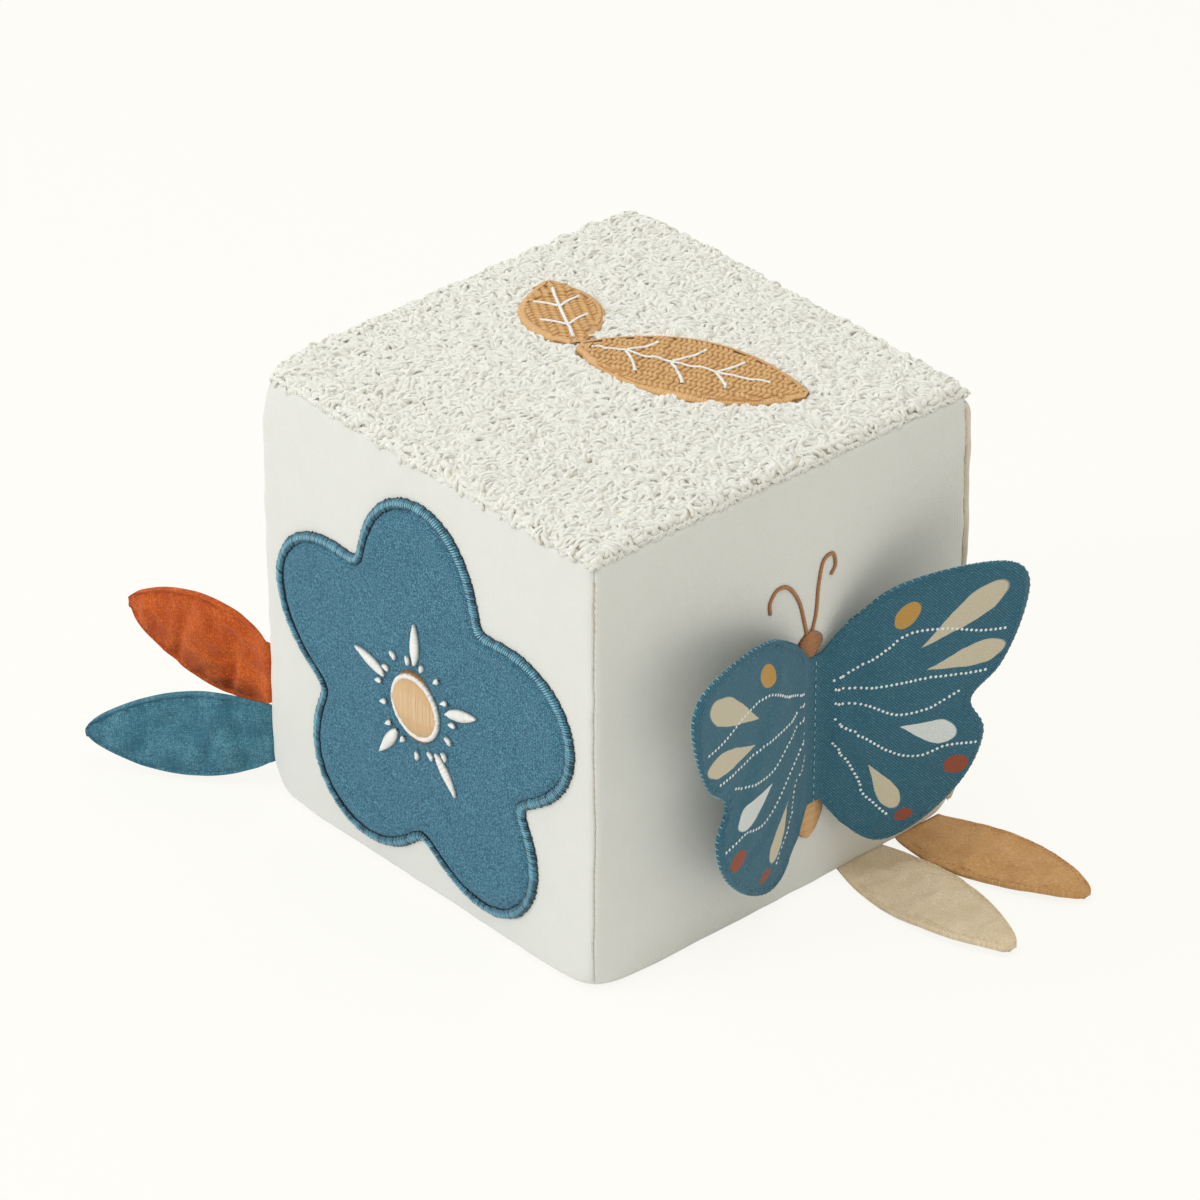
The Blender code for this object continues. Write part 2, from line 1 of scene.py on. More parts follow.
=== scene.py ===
# %% [markdown]
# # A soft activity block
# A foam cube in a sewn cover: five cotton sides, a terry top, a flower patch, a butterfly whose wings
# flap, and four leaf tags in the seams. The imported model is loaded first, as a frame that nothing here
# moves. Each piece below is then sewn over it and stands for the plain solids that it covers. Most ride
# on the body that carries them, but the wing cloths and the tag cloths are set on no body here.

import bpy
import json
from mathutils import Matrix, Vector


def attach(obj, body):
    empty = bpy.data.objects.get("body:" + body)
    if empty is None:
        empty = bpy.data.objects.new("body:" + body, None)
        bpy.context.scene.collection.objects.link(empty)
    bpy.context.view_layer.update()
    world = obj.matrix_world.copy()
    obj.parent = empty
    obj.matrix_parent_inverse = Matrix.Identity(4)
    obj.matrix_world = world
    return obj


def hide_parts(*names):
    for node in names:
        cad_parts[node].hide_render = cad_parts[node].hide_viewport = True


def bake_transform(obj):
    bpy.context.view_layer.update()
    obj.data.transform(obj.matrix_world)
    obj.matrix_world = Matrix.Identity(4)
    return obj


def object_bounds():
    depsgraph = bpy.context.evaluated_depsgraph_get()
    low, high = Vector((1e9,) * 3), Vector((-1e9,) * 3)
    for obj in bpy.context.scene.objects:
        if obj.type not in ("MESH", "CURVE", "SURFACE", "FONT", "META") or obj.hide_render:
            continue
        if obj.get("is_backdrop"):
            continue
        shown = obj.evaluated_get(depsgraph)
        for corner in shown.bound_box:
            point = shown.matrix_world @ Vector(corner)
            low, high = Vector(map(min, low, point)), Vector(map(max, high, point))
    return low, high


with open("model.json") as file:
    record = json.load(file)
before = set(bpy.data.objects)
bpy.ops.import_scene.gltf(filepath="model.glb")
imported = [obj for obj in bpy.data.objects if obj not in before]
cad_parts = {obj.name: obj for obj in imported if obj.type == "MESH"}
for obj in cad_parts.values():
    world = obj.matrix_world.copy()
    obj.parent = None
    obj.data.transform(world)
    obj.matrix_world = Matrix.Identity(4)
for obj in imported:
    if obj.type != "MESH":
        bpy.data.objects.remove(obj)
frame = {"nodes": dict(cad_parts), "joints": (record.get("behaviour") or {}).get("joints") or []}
cad_low, cad_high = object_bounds()
print("solids loaded:", len(frame["nodes"]))

# %% What the later cells use
import json
import math
import random

import bmesh
import bpy
import numpy as np
from mathutils import Matrix, Vector, noise
from mathutils.bvhtree import BVHTree

MM = 0.001
UP = Vector((0, 0, 1))
SEED = 7
chance = random.Random(SEED)

# Without a seed, noise_vector gives another field on each run.
noise.seed_set(SEED)

# %% [markdown]
# ## The form of a stuffed cube
# A cube sewn from flat squares and filled with foam isn't a plain cube. Its faces swell, most in their
# middle, its corners draw in, and the cloth beside a seam ripples a little, because the stitches hold it
# shorter than it is. A modelled cube with a Bevel would look moulded, so each point of a plain cube is
# moved by a formula instead. The formula works on places, and not on one mesh, so that the panels, the
# patches and the stitches all follow it.

# %% The swell and the draw of the block
HALF = 75 * MM
TOP = 2 * HALF
CROWN = 2.5 * MM
TOP_CORNER_DRAWS = {(-1, -1): 7.0 * MM, (1, -1): 3.2 * MM, (1, 1): 2.0 * MM, (-1, 1): 2.5 * MM}
LOW_CORNER_DRAW = 5.5 * MM
LOW_CORNER_LIFT = 4 * MM
CORNER_SHARPNESS = 11


def stuffed(point):
    """Where a point of the plain cube lies once it is filled. Its base stays flat but for its corners."""
    x, y, z = point.x / HALF, point.y / HALF, point.z / HALF - 1
    fall = [max(0.0, 1 - c * c) for c in (x, y, z)]
    swell = Vector((x * fall[1] * fall[2], y * fall[0] * fall[2], max(z, 0.0) * fall[0] * fall[1]))
    draw = min(1.0, abs(x * y * z)) ** CORNER_SHARPNESS
    corner = (math.copysign(1, x), math.copysign(1, y))
    inward = Vector((x, y, z)).normalized() * (TOP_CORNER_DRAWS[corner] if z > 0 else LOW_CORNER_DRAW)
    inward.z = max(inward.z, -LOW_CORNER_LIFT)
    return point + swell * CROWN - inward * draw


# %% The ripple of the cloth along the seams
RIPPLE_LENGTH = 9 * MM
RIPPLE_DEPTH = 0.45 * MM
RIPPLE_START = 0.82
SOFTNESS_LENGTH = 45 * MM
SOFTNESS_DEPTH = 0.5 * MM
STEADY_HEIGHT = 12 * MM


def rumpled(point):
    """A point of the cover, moved by the broad softness of the foam and by the ripples beside a seam."""
    nearness = sorted(abs(c) / HALF for c in (point.x, point.y, point.z - HALF))[1]
    seam = max(0.0, (nearness - RIPPLE_START) / (1 - RIPPLE_START)) ** 1.5
    moved = noise.noise_vector(point / RIPPLE_LENGTH) * RIPPLE_DEPTH * min(seam, 1.0)
    moved += noise.noise_vector(point / SOFTNESS_LENGTH + UP * 7) * SOFTNESS_DEPTH
    moved.z *= min(1.0, max(0.0, point.z / STEADY_HEIGHT))
    return point + moved


def on_cover(x, y, z):
    """Where a point of the plain cube lies on the finished cover."""
    return rumpled(stuffed(Vector((x, y, z))))


print("middle of the front bulges by", round((-stuffed(Vector((0, -HALF, HALF))).y - HALF) / MM, 2), "mm")

# %% [markdown]
# ## Cloth as a grid
# Every cloth here is cut flat, so each starts as a flat grid that carries a UV map in metres of real
# cloth. The weave and the prints are drawn on that map, so that they follow the cloth round a roll or
# over a fold. A projected pattern would need no map, but it smears where the cloth turns away.

# %% Meshes, grids and pads
UV_NAME = "cloth"
MERGE_DISTANCE = 0.02 * MM


def mesh_of(name, bm):
    """The mesh of a bmesh, which is freed."""
    mesh = bpy.data.meshes.new(name)
    bm.to_mesh(mesh)
    bm.free()
    return mesh


def linked(name, data):
    """A new object of a mesh, a lamp or a camera, in the scene."""
    made = bpy.data.objects.new(name, data)
    bpy.context.scene.collection.objects.link(made)
    return made


def finished(name, bm, material, smooth=True):
    """The object of a bmesh, at the origin, with its place in its mesh."""
    mesh = mesh_of(name, bm)
    mesh.materials.append(material)
    if smooth:
        mesh.shade_smooth()
    return linked(name, mesh)


def flat_grid(columns, rows, flat):
    """A grid from -1 to 1 both ways, whose UV map holds flat(u, v), in metres."""
    bm = bmesh.new()
    uv_layer = bm.loops.layers.uv.new(UV_NAME)
    bmesh.ops.create_grid(bm, x_segments=columns, y_segments=rows, size=1)
    for face in bm.faces:
        for loop in face.loops:
            loop[uv_layer].uv = flat(loop.vert.co.x, loop.vert.co.y)
    return bm


def pad(name, columns, rows, flat, place, material, held=lambda u, v: False):
    """Two cloths sewn round their rim: place(u, v, side) puts each point, with side 1 in front and -1 behind.

    A vertex group keeps the points of the rim, and those that held picks, where the cloth solver runs.
    """
    bm = flat_grid(columns, rows, flat)
    bmesh.ops.solidify(bm, geom=bm.faces[:], thickness=0.5)
    middle = sum(vertex.co.z for vertex in bm.verts) / len(bm.verts)
    groups = bm.verts.layers.deform.verify()
    for vertex in bm.verts:
        u, v = vertex.co.x, vertex.co.y
        vertex[groups][0] = 1.0 if max(abs(u), abs(v)) > 0.999 or held(u, v) else 0.0
        vertex.co = place(u, v, 1 if vertex.co.z > middle else -1)
    bmesh.ops.remove_doubles(bm, verts=bm.verts, dist=MERGE_DISTANCE)
    bmesh.ops.recalc_face_normals(bm, faces=bm.faces[:])
    made = finished(name, bm, material)
    made.vertex_groups.new(name="held")
    return made


# %% [markdown]
# ## Padded cloth by simulation
# A sewn and turned pad is tight at its rim and slack inside, and it wrinkles where the two don't agree.
# Moving points by hand gives an even pillow, so each pad is blown up a little by Blender's cloth solver,
# with its rim held, and the result is written into the mesh, no further than a cap.

# %% Let a pad settle
SETTLE_FRAMES = 20
INWARD_GIVE = 0.25 * MM
CLOTH_SETTINGS = {"quality": 5, "mass": 0.15, "bending_stiffness": 0.1, "use_pressure": True}


def settled(piece, pressure, slack, cap):
    """Runs the cloth solver on a piece, whose held points stay put.

    It keeps at most a cap of each move, and only a little of a move inwards, where the filling is.
    """
    solver = piece.modifiers.new("settle", "CLOTH")
    for key, value in CLOTH_SETTINGS.items():
        setattr(solver.settings, key, value)
    solver.settings.uniform_pressure_force = pressure
    solver.settings.shrink_min = -slack
    solver.settings.vertex_group_mass = "held"
    solver.settings.effector_weights.gravity = 0
    solver.collision_settings.use_collision = False
    solver.point_cache.frame_end = SETTLE_FRAMES
    for number in range(1, SETTLE_FRAMES + 1):
        bpy.context.scene.frame_set(number)
    moved = piece.evaluated_get(bpy.context.evaluated_depsgraph_get()).data
    most = 0.0
    outward = [normal.vector.copy() for normal in piece.data.vertex_normals]
    for vertex, target, way in zip(piece.data.vertices, moved.vertices, outward):
        shift = target.co - vertex.co
        shift -= way * min(0.0, shift.dot(way) + INWARD_GIVE)
        most = max(most, shift.length)
        vertex.co = vertex.co + shift * min(1.0, cap / max(shift.length, 1e-9))
    piece.modifiers.remove(solver)
    bpy.context.scene.frame_set(1)
    piece.data.update()
    print(piece.name, "settled by up to", round(most / MM, 2), "mm")
    return piece


def surface_tree(piece):
    """A search tree of a piece's faces, which finds the nearest point of its cloth."""
    return BVHTree.FromObject(piece, bpy.context.evaluated_depsgraph_get())


# %% [markdown]
# ## Stitches and yarn
# Thread shows as thousands of small alike shapes. A modelled thread under each would be slow to make and
# heavy to keep, so one small template is modelled with operators, and one mesh repeats it at every place.
# Each copy also carries a random tone, because no two strands of a real yarn catch the light alike.

# %% Two templates: an arch of thread and a round stitch
ARCH_THICKNESS = 0.25
LOOP_THICKNESS = 0.36
ARCH_STEPS = 5


def arch_template(thickness):
    """A half ring of thread over +Z, from x = 1 to x = -1, four-sided and closed at both ends."""
    bm = bmesh.new()
    bmesh.ops.create_circle(bm, cap_ends=True, segments=4, radius=thickness)
    bmesh.ops.translate(bm, vec=(1, 0, 0), verts=bm.verts)
    bmesh.ops.spin(bm, geom=bm.faces[:], cent=(0, 0, 0), axis=(0, -1, 0), angle=math.pi, steps=ARCH_STEPS)
    bmesh.ops.recalc_face_normals(bm, faces=bm.faces[:])
    return mesh_of("arch_of_thread", bm)


def bead_template(subdivisions):
    """A round stitch of unit radius."""
    bm = bmesh.new()
    bmesh.ops.create_icosphere(bm, subdivisions=subdivisions, radius=1)
    return mesh_of("round_stitch", bm)


ARCH = arch_template(ARCH_THICKNESS)
LOOP = arch_template(LOOP_THICKNESS)
STITCH = bead_template(1)
ROUND = bead_template(2)
print("triangles in an arch:", 2 * len(ARCH.polygons), "and in a stitch:", len(STITCH.polygons))

# %% Copies of a template


def placed(at, along, normal, size):
    """The matrix of a copy at a point: X along a direction, Z by the surface's normal, scaled by size."""
    x = along.normalized()
    y = normal.cross(x).normalized()
    z = x.cross(y)
    matrix = Matrix((x * size[0], y * size[1], z * size[2])).transposed().to_4x4()
    matrix.translation = at
    return matrix


def point_values(mesh, name, values):
    """Writes one number for each point of a mesh, which a material reads by its name."""
    mesh.attributes.new(name, "FLOAT", "POINT").data.foreach_set("value", values.astype(np.float32))


def copies(name, template, places, material, body="block"):
    """One object that repeats a template's mesh at each place, and rides on a body.

    Each copy has a random tone, and each point knows its rise, from 0 at a thread's feet to 1 at its top.
    """
    count = len(template.vertices)
    base = np.empty(count * 3, np.float32)
    template.vertices.foreach_get("co", base)
    base = base.reshape(-1, 3)
    matrices = np.array(places, np.float32)
    points = np.einsum("nij,vj->nvi", matrices[:, :3, :3], base) + matrices[:, None, :3, 3]
    faces = np.array([face.vertices[:] for face in template.polygons])
    numbers = faces[None] + (np.arange(len(places)) * count)[:, None, None]
    mesh = bpy.data.meshes.new(name)
    mesh.from_pydata(points.reshape(-1, 3).tolist(), [], numbers.reshape(-1, faces.shape[1]).tolist())
    point_values(mesh, "tone", np.repeat([chance.random() for _ in places], count))
    # The rise lets the strand materials paint a shade at a thread's feet and a highlight at its top.
    heights = base[:, 2]
    point_values(mesh, "rise", np.tile((heights - heights.min()) / np.ptp(heights), len(places)))
    mesh.materials.append(material)
    mesh.shade_smooth()
    made = linked(name, mesh)
    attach(made, body)
    print(name, "repeats its template", len(places), "times")
    return made


# %% [markdown]
# ## Node helpers
# Colours are written as the sRGB hex values that a paint chart gives, and one function turns them linear.
# One more adds a node with its settings and links, so that each material below reads as a list of what
# the cloth has.

# %% Colours and nodes


def linear(code):
    """An sRGB hex colour as linear red, green, blue and alpha."""
    channels = [int(code[i : i + 2], 16) / 255 for i in (1, 3, 5)]
    return [c / 12.92 if c <= 0.04045 else ((c + 0.055) / 1.055) ** 2.4 for c in channels] + [1.0]


def add(tree, kind, inputs=None, **settings):
    """A node of a kind with its settings, each input linked from a socket or set to a value."""
    made = tree.nodes.new(kind)
    for name, value in settings.items():
        setattr(made, name, value)
    for key, value in (inputs or {}).items():
        if isinstance(value, bpy.types.NodeSocket):
            tree.links.new(value, made.inputs[key])
        else:
            made.inputs[key].default_value = value
    return made


def math_of(tree, operation, *values):
    """The result of a Math node on sockets or numbers."""
    return add(tree, "ShaderNodeMath", dict(enumerate(values)), operation=operation).outputs[0]


def ranged(tree, value, low, high, first=0.0, last=1.0):
    """A value from low to high, mapped to a number from first to last and held between them."""
    return add(tree, "ShaderNodeMapRange", {0: value, 1: low, 2: high, 3: first, 4: last}).outputs[0]


def grain_of(tree, place, size, detail=2, output=0):
    """Noise with grains of a size: its value, or with output 1 three values as a colour."""
    settings = {"Vector": place, "Scale": 1 / size, "Detail": detail}
    return add(tree, "ShaderNodeTexNoise", settings).outputs[output]


def mixed(tree, share, first, second):
    """A colour between two, each a socket or a hex code."""
    ends = [linear(c) if isinstance(c, str) else c for c in (first, second)]
    inputs = {"Factor": share, 6: ends[0], 7: ends[1]}
    return add(tree, "ShaderNodeMix", inputs, data_type="RGBA").outputs[2]


def new_material(name, roughness, sheen=0.0):
    """A material with only its shader, and its node tree and shader for more."""
    made = bpy.data.materials.new(name)
    made.use_nodes = True
    shader = made.node_tree.nodes["Principled BSDF"]
    shader.inputs["Roughness"].default_value = roughness
    shader.inputs["Sheen Weight"].default_value = sheen
    shader.inputs["Sheen Roughness"].default_value = 0.5
    return made, made.node_tree, shader


def dress(tree, shader, colour, height, strength, distance):
    """Gives a shader a colour, and a bump of a height."""
    tree.links.new(colour, shader.inputs["Base Color"])
    bump = add(tree, "ShaderNodeBump", {"Height": height, "Strength": strength, "Distance": distance})
    tree.links.new(bump.outputs[0], shader.inputs["Normal"])


def object_place(tree):
    """Places on the object itself, for a material that has no cloth to follow."""
    return add(tree, "ShaderNodeTexCoord").outputs["Object"]


# %% [markdown]
# ## Woven cotton
# The cover, the patch and the tags are plain-woven cotton: each thread goes over one and under the next,
# so the surface is a chequer of small bumps. The threads are 0.3 to 0.4 mm apart on the real cloth, too
# fine to show in a render of this size, so the weave is drawn at 0.7 mm. Thick places in the yarn show as
# short streaks both ways.

# %% A plain weave
WEAVE_PITCH = 0.7 * MM
WOBBLE_LENGTH = 6 * MM
FUZZ_SIZE = 0.5 * MM
MOTTLE_SIZE = 9 * MM
SLUB_SIZE = (0.8 * MM, 9 * MM)


def weave(tree, pitch):
    """The height of a plain weave on the cloth's map, and that map, a little bent as real threads are."""
    uv = add(tree, "ShaderNodeUVMap", uv_map=UV_NAME).outputs[0]
    wobble = grain_of(tree, uv, WOBBLE_LENGTH, output=1)
    bent = add(tree, "ShaderNodeVectorMath", {0: wobble, 1: (pitch,) * 3}, operation="MULTIPLY").outputs[0]
    cloth = add(tree, "ShaderNodeVectorMath", {0: uv, 1: bent}, operation="ADD").outputs[0]
    split = add(tree, "ShaderNodeSeparateXYZ", {0: cloth})
    turns = [math_of(tree, "MULTIPLY", split.outputs[axis], math.pi / pitch) for axis in (0, 1)]
    waves = [math_of(tree, "SINE", turn) for turn in turns]
    return math_of(tree, "ABSOLUTE", math_of(tree, "MULTIPLY", *waves)), cloth


def slubs(tree, cloth, across, along):
    """Streaks where the yarn runs thick: noise drawn out one way, and the same the other way."""
    streaks = []
    for scale in ((1 / along, 1 / across, 1), (1 / across, 1 / along, 1)):
        stretched = add(tree, "ShaderNodeMapping", {"Vector": cloth, "Scale": scale}).outputs[0]
        streaks.append(grain_of(tree, stretched, 1.0))
    return math_of(tree, "MULTIPLY", math_of(tree, "ADD", *streaks), 0.5)


def woven(name, light, dark, streak, weave_hollow_shade=0.5, relief=0.12, grain=0.15, mottle=0.1):
    """A dyed or natural plain-woven cotton, between two tones of one colour, with streaks of a third.

    The grain is the fuzz of the yarn, which breaks up the weave, and the mottle is how unevenly the dye lies.
    """
    material, tree, shader = new_material(name, 0.9, 0.05)
    height, cloth = weave(tree, WEAVE_PITCH)
    fuzz = grain_of(tree, cloth, FUZZ_SIZE, 3)
    cloud = grain_of(tree, cloth, MOTTLE_SIZE, 4)
    # The weave's height sets a painted shade in the hollows between threads; the fuzz and the mottle added to
    # it are the cloth's own.
    light_share = math_of(tree, "MULTIPLY", height, weave_hollow_shade)
    for source, amount in ((fuzz, 10 * grain), (cloud, 4 * mottle)):
        centred = math_of(tree, "MULTIPLY", math_of(tree, "SUBTRACT", source, 0.5), amount)
        light_share = math_of(tree, "ADD", light_share, centred)
    base = mixed(tree, add(tree, "ShaderNodeClamp", {0: light_share}).outputs[0], dark, light)
    thick = slubs(tree, cloth, *SLUB_SIZE)
    colour = mixed(tree, ranged(tree, thick, 0.5, 0.7, 0.0, 0.6), base, streak)
    raised = math_of(tree, "ADD", height, math_of(tree, "MULTIPLY", fuzz, 0.8))
    dress(tree, shader, colour, raised, 0.5, relief * MM)
    return material


natural_cotton = woven("natural_woven_cotton", "#F2F2EF", "#E6E6E1", "#E9E7DF", grain=0.05)
blue_cotton = woven("blue_woven_cotton", "#659FB6", "#255A72", "#45798F", 0.6, 0.2, 0.4, 0.05)
washed_blue_cotton = woven("washed_blue_cotton", "#6BA4B5", "#326A80", "#5C94A6", 0.3, 0.2, 0.3, 0.45)
rust_cotton = woven("rust_woven_cotton", "#EE7C2C", "#B5480C", "#D0621E", 0.35, 0.2, 0.3, 0.45)
tan_cotton = woven("tan_woven_cotton", "#F2C390", "#CE9B63", "#DFAD74", 0.4, 0.2, 0.25, 0.3)
cream_cotton = woven("cream_woven_cotton", "#FEEFD9", "#E3CCA9", "#F0DCBE", 0.4, 0.2, 0.25, 0.3)
seam_cotton = woven("folded_seam_cotton", "#F5EEE3", "#E8DDCD", "#E4D6C0", 0.5, 0.2, 0.1)

# %% [markdown]
# ## Threads and terry yarn
# Machine embroidery is polyester or rayon thread, smooth enough to shine along its length. Terry is
# loosely spun cotton, dull and fuzzy. Both are drawn as real strands, so their materials need only the
# tone of each strand, a painted shade at its feet and a painted highlight along its top, a fine twist
# in the bump, and the right roughness: low for embroidery, full for terry.

# %% Materials for strands
FINE_TWIST = 0.3 * MM


def strand(name, painted_highlight, light, dark, painted_foot_shade, roughness, sheen, twist=FINE_TWIST, relief=0.4, fluff=0.0):
    """A thread or yarn: a painted shade at its feet, a painted highlight along its top, and between two tones
    from copy to copy.

    Its twist is a bump as fine as the given length. Fluff is how much its loose fibres even out the light.
    """
    material, tree, shader = new_material(name, roughness, sheen)
    shader.inputs["Diffuse Roughness"].default_value = fluff
    tone, rise = (add(tree, "ShaderNodeAttribute", attribute_name=key).outputs[2] for key in ("tone", "rise"))
    # Low on a strand the colour goes to a painted shade, and along its top to a painted highlight.
    body = mixed(tree, ranged(tree, rise, 0.2, 0.75), painted_foot_shade, mixed(tree, tone, dark, light))
    colour = mixed(tree, ranged(tree, rise, 0.9, 1.0), body, painted_highlight)
    dress(tree, shader, colour, grain_of(tree, object_place(tree), twist), relief, twist / 2)
    return material


# In each list of tones, here and in THREADS, the first is a painted highlight for a strand's top, the next
# two are the strand's own tones, and the last is a painted shade for its feet.
terry_tones = ("#F5F5F2", "#F4F4F0", "#EDECE6", "#F1EEE5")
terry_yarn = strand("undyed_terry_yarn", *terry_tones, 1.0, 0.3, 0.6 * MM, 0.12, 1.0)
# The ground cloth has no rise of its own, so all of it takes the last of these tones, the painted shade of a
# strand's feet.
ground_tones = ("#F4F1E8", "#F2EEE2", "#EAE4D4", "#EFEADC")
terry_ground = strand("terry_ground_cloth", *ground_tones, 1.0, 0.1, 0.8 * MM)
THREADS = {
    "blue": ("blue_embroidery_thread", "#9ACFE0", "#5094AE", "#174A60", "#0E2B39", 0.3, 0.1),
    "deep_blue": ("deep_blue_sewing_thread", "#4F889C", "#3C768B", "#1F5066", "#153B4C", 0.5, 0.1),
    "pale_blue": ("pale_blue_sewing_thread", "#B4D2DB", "#9CC2CE", "#6D9FB2", "#3B6A80", 0.5, 0.2),
    "white": ("white_embroidery_thread", "#FDFCFA", "#FBFAF7", "#ECEAE4", "#C6CACA", 0.5, 0.2),
    "tan": ("tan_embroidery_thread", "#E6BC88", "#DFB27A", "#D5A468", "#AD7B45", 0.5, 0.2),
    "rust": ("rust_sewing_thread", "#C66530", "#BC5A26", "#A84A1A", "#843812", 0.6, 0.1),
    "pale_tan": ("pale_tan_embroidery_thread", "#EBCBA2", "#E6C396", "#DDB888", "#B88D5C", 0.5, 0.2),
    "brown": ("brown_embroidery_thread", "#B97E4C", "#AC7343", "#A36B3D", "#7D4E28", 0.5, 0.2),
    "natural": ("natural_sewing_thread", "#E9DDC8", "#E4D6BF", "#C9B496", "#B29A7A", 0.7, 0.1),
    "white_ink": ("white_textile_ink", "#F6F8F7", "#F4F6F5", "#E4EAEA", "#DCE3E3", 0.8, 0.0),
}
threads = {key: strand(*values) for key, values in THREADS.items()}

# %% [markdown]
# ## The cotton cover
# Each side of the cover is one square of cotton, sewn face to face with its neighbours and turned right
# side out. So the edge rounds off, and just at the seam the cloth turns sharply in. A panel here is a
# grid whose rings follow that section: flat, then a wide round, then the tight turn into the seam. One
# function makes all panels.

# %% The section of a panel's edge
EDGE_ROUND = 3.0 * MM
FLAT_REACH = HALF - EDGE_ROUND
SEAM_TURN = 0.55 * MM
SEAM_SLIT = 0.02 * MM
SEAM_DEPTH = 1.8 * MM
FLAT_RINGS = 40
TURN_RINGS = 5


def edge_section(lift):
    """(reach, height) of each ring of a panel, from its middle over its edge and into its seam."""
    rings = [(FLAT_REACH * i / FLAT_RINGS, HALF + lift) for i in range(FLAT_RINGS + 1)]
    inner = EDGE_ROUND - SEAM_TURN
    wide = math.pi / 4 - math.asin((SEAM_TURN + SEAM_SLIT) / inner)
    for i in range(1, TURN_RINGS + 1):
        turn = wide * i / TURN_RINGS
        left_lift = lift * (1 - i / TURN_RINGS)
        reach = FLAT_REACH + EDGE_ROUND * math.sin(turn)
        rings.append((reach, FLAT_REACH + left_lift + EDGE_ROUND * math.cos(turn)))
    centre = (FLAT_REACH + inner * math.sin(wide), FLAT_REACH + inner * math.cos(wide))
    for i in range(1, TURN_RINGS + 1):
        turn = wide + (3 * math.pi / 4 - wide) * i / TURN_RINGS
        rings.append((centre[0] + SEAM_TURN * math.sin(turn), centre[1] + SEAM_TURN * math.cos(turn)))
    reach, height = rings[-1]
    rings.append((reach - SEAM_DEPTH / math.sqrt(2), height - SEAM_DEPTH / math.sqrt(2)))
    return rings


PANEL_TURNS = {"front": (90, "X"), "back": (-90, "X"), "right": (90, "Y"), "left": (-90, "Y"),
               "base": (180, "X"), "top": (0, "X")}


def cover_panel(name, side, lift, material):
    """One square of the cover, rolled over its edges and turned to its side of the block."""
    rings = edge_section(lift)
    last = len(rings) - 1
    lengths = [0.0]
    for (r0, h0), (r1, h1) in zip(rings, rings[1:]):
        lengths.append(lengths[-1] + math.hypot(r1 - r0, h1 - h0))

    def spread(u, v, sizes):
        share = max(abs(u), abs(v))
        return sizes[round(share * last)] / share if share else 0.0

    bm = flat_grid(2 * last, 2 * last, lambda u, v: (u * spread(u, v, lengths), v * spread(u, v, lengths)))
    reaches, heights = zip(*rings)
    degrees, axis = PANEL_TURNS[side]
    turned = Matrix.Rotation(math.radians(degrees), 3, axis)
    for vertex in bm.verts:
        u, v = vertex.co.x, vertex.co.y
        scale = spread(u, v, reaches)
        height = heights[round(max(abs(u), abs(v)) * last)]
        vertex.co = on_cover(*(turned @ Vector((u * scale, v * scale, height)) + UP * HALF))
    print(name, "is cut", round(2 * lengths[-1] / MM, 1), "mm square")
    return finished(name, bm, material), 2 * lengths[-1]


# %% Five cotton panels
for side in ("front", "back", "right", "left", "base"):
    panel, cut = cover_panel(f"cotton_{side}", side, 0, natural_cotton)
    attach(panel, "block")
    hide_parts(f"panel_{side}")

# %% [markdown]
# ## The filling
# The foam can't be seen, but the cover is stretched on it, and a cut block would show its open cells.
# Each half is a plain block whose edges are bevelled as a cut block's wear, with round cells in its
# material.

# %% Two halves of foam
FOAM_GAP = 2.2 * MM
FOAM_SPLIT = 75 * MM
FOAM_BEVEL = 8 * MM
FOAM_CELL = 1.6 * MM
POCKET_RADIUS = 18.5 * MM
POCKET_DEPTH = 19 * MM


def foam():
    """Open-cell foam: its cell walls are pale, and its cells, which the bump sinks, are darker with a painted
    shade.
    """
    material, tree, shader = new_material("open_cell_foam", 0.95, 0.1)
    pattern = {"Vector": object_place(tree), "Scale": 1 / FOAM_CELL}
    cells = add(tree, "ShaderNodeTexVoronoi", pattern).outputs["Distance"]
    dress(tree, shader, mixed(tree, cells, "#D9CC9E", "#F5EFD6"), cells, 0.6, 0.6 * MM)
    return material


def pocket_cutter():
    """The cylinder of air that the rattle capsule sits in."""
    bm = bmesh.new()
    bmesh.ops.create_cone(bm, cap_ends=True, segments=48, radius1=POCKET_RADIUS, radius2=POCKET_RADIUS,
                          depth=POCKET_DEPTH)
    bmesh.ops.translate(bm, vec=(0, 0, FOAM_SPLIT), verts=bm.verts)
    return linked("foam_pocket", mesh_of("foam_pocket", bm))


open_cell_foam = foam()
for name, low, high in (("lower", FOAM_GAP, FOAM_SPLIT), ("upper", FOAM_SPLIT, TOP - FOAM_GAP)):
    bm = bmesh.new()
    bmesh.ops.create_cube(bm, size=2)
    reach = HALF - FOAM_GAP
    bmesh.ops.scale(bm, vec=(reach, reach, (high - low) / 2), verts=bm.verts)
    bmesh.ops.translate(bm, vec=(0, 0, (high + low) / 2), verts=bm.verts)
    bmesh.ops.bevel(bm, geom=bm.edges[:], offset=FOAM_BEVEL, segments=4, profile=0.5, affect="EDGES",
                    material=-1)
    half = finished(f"foam_half_{name}", bm, open_cell_foam, smooth=False)
    cutter = pocket_cutter()
    cut = half.modifiers.new("pocket", "BOOLEAN")
    cut.operation = "DIFFERENCE"
    cut.object = cutter
    half.data = bpy.data.meshes.new_from_object(half.evaluated_get(bpy.context.evaluated_depsgraph_get()))
    half.modifiers.clear()
    bpy.data.objects.remove(cutter)
    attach(half, "block")
    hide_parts(f"foam_{name}")

# %% [markdown]
# ## The terry top
# Terry is a ground cloth with a loop of yarn at every crossing, so what shows is a mass of short strands
# that lie all ways and hang a little over the seams. A bump on a flat square gives no such outline, and
# particle hair has to be converted to export. Here each loop is a copy of the arch, with its own
# direction, lean and length. They are left out where the sprig is sewn down, since its stitches press
# them flat.

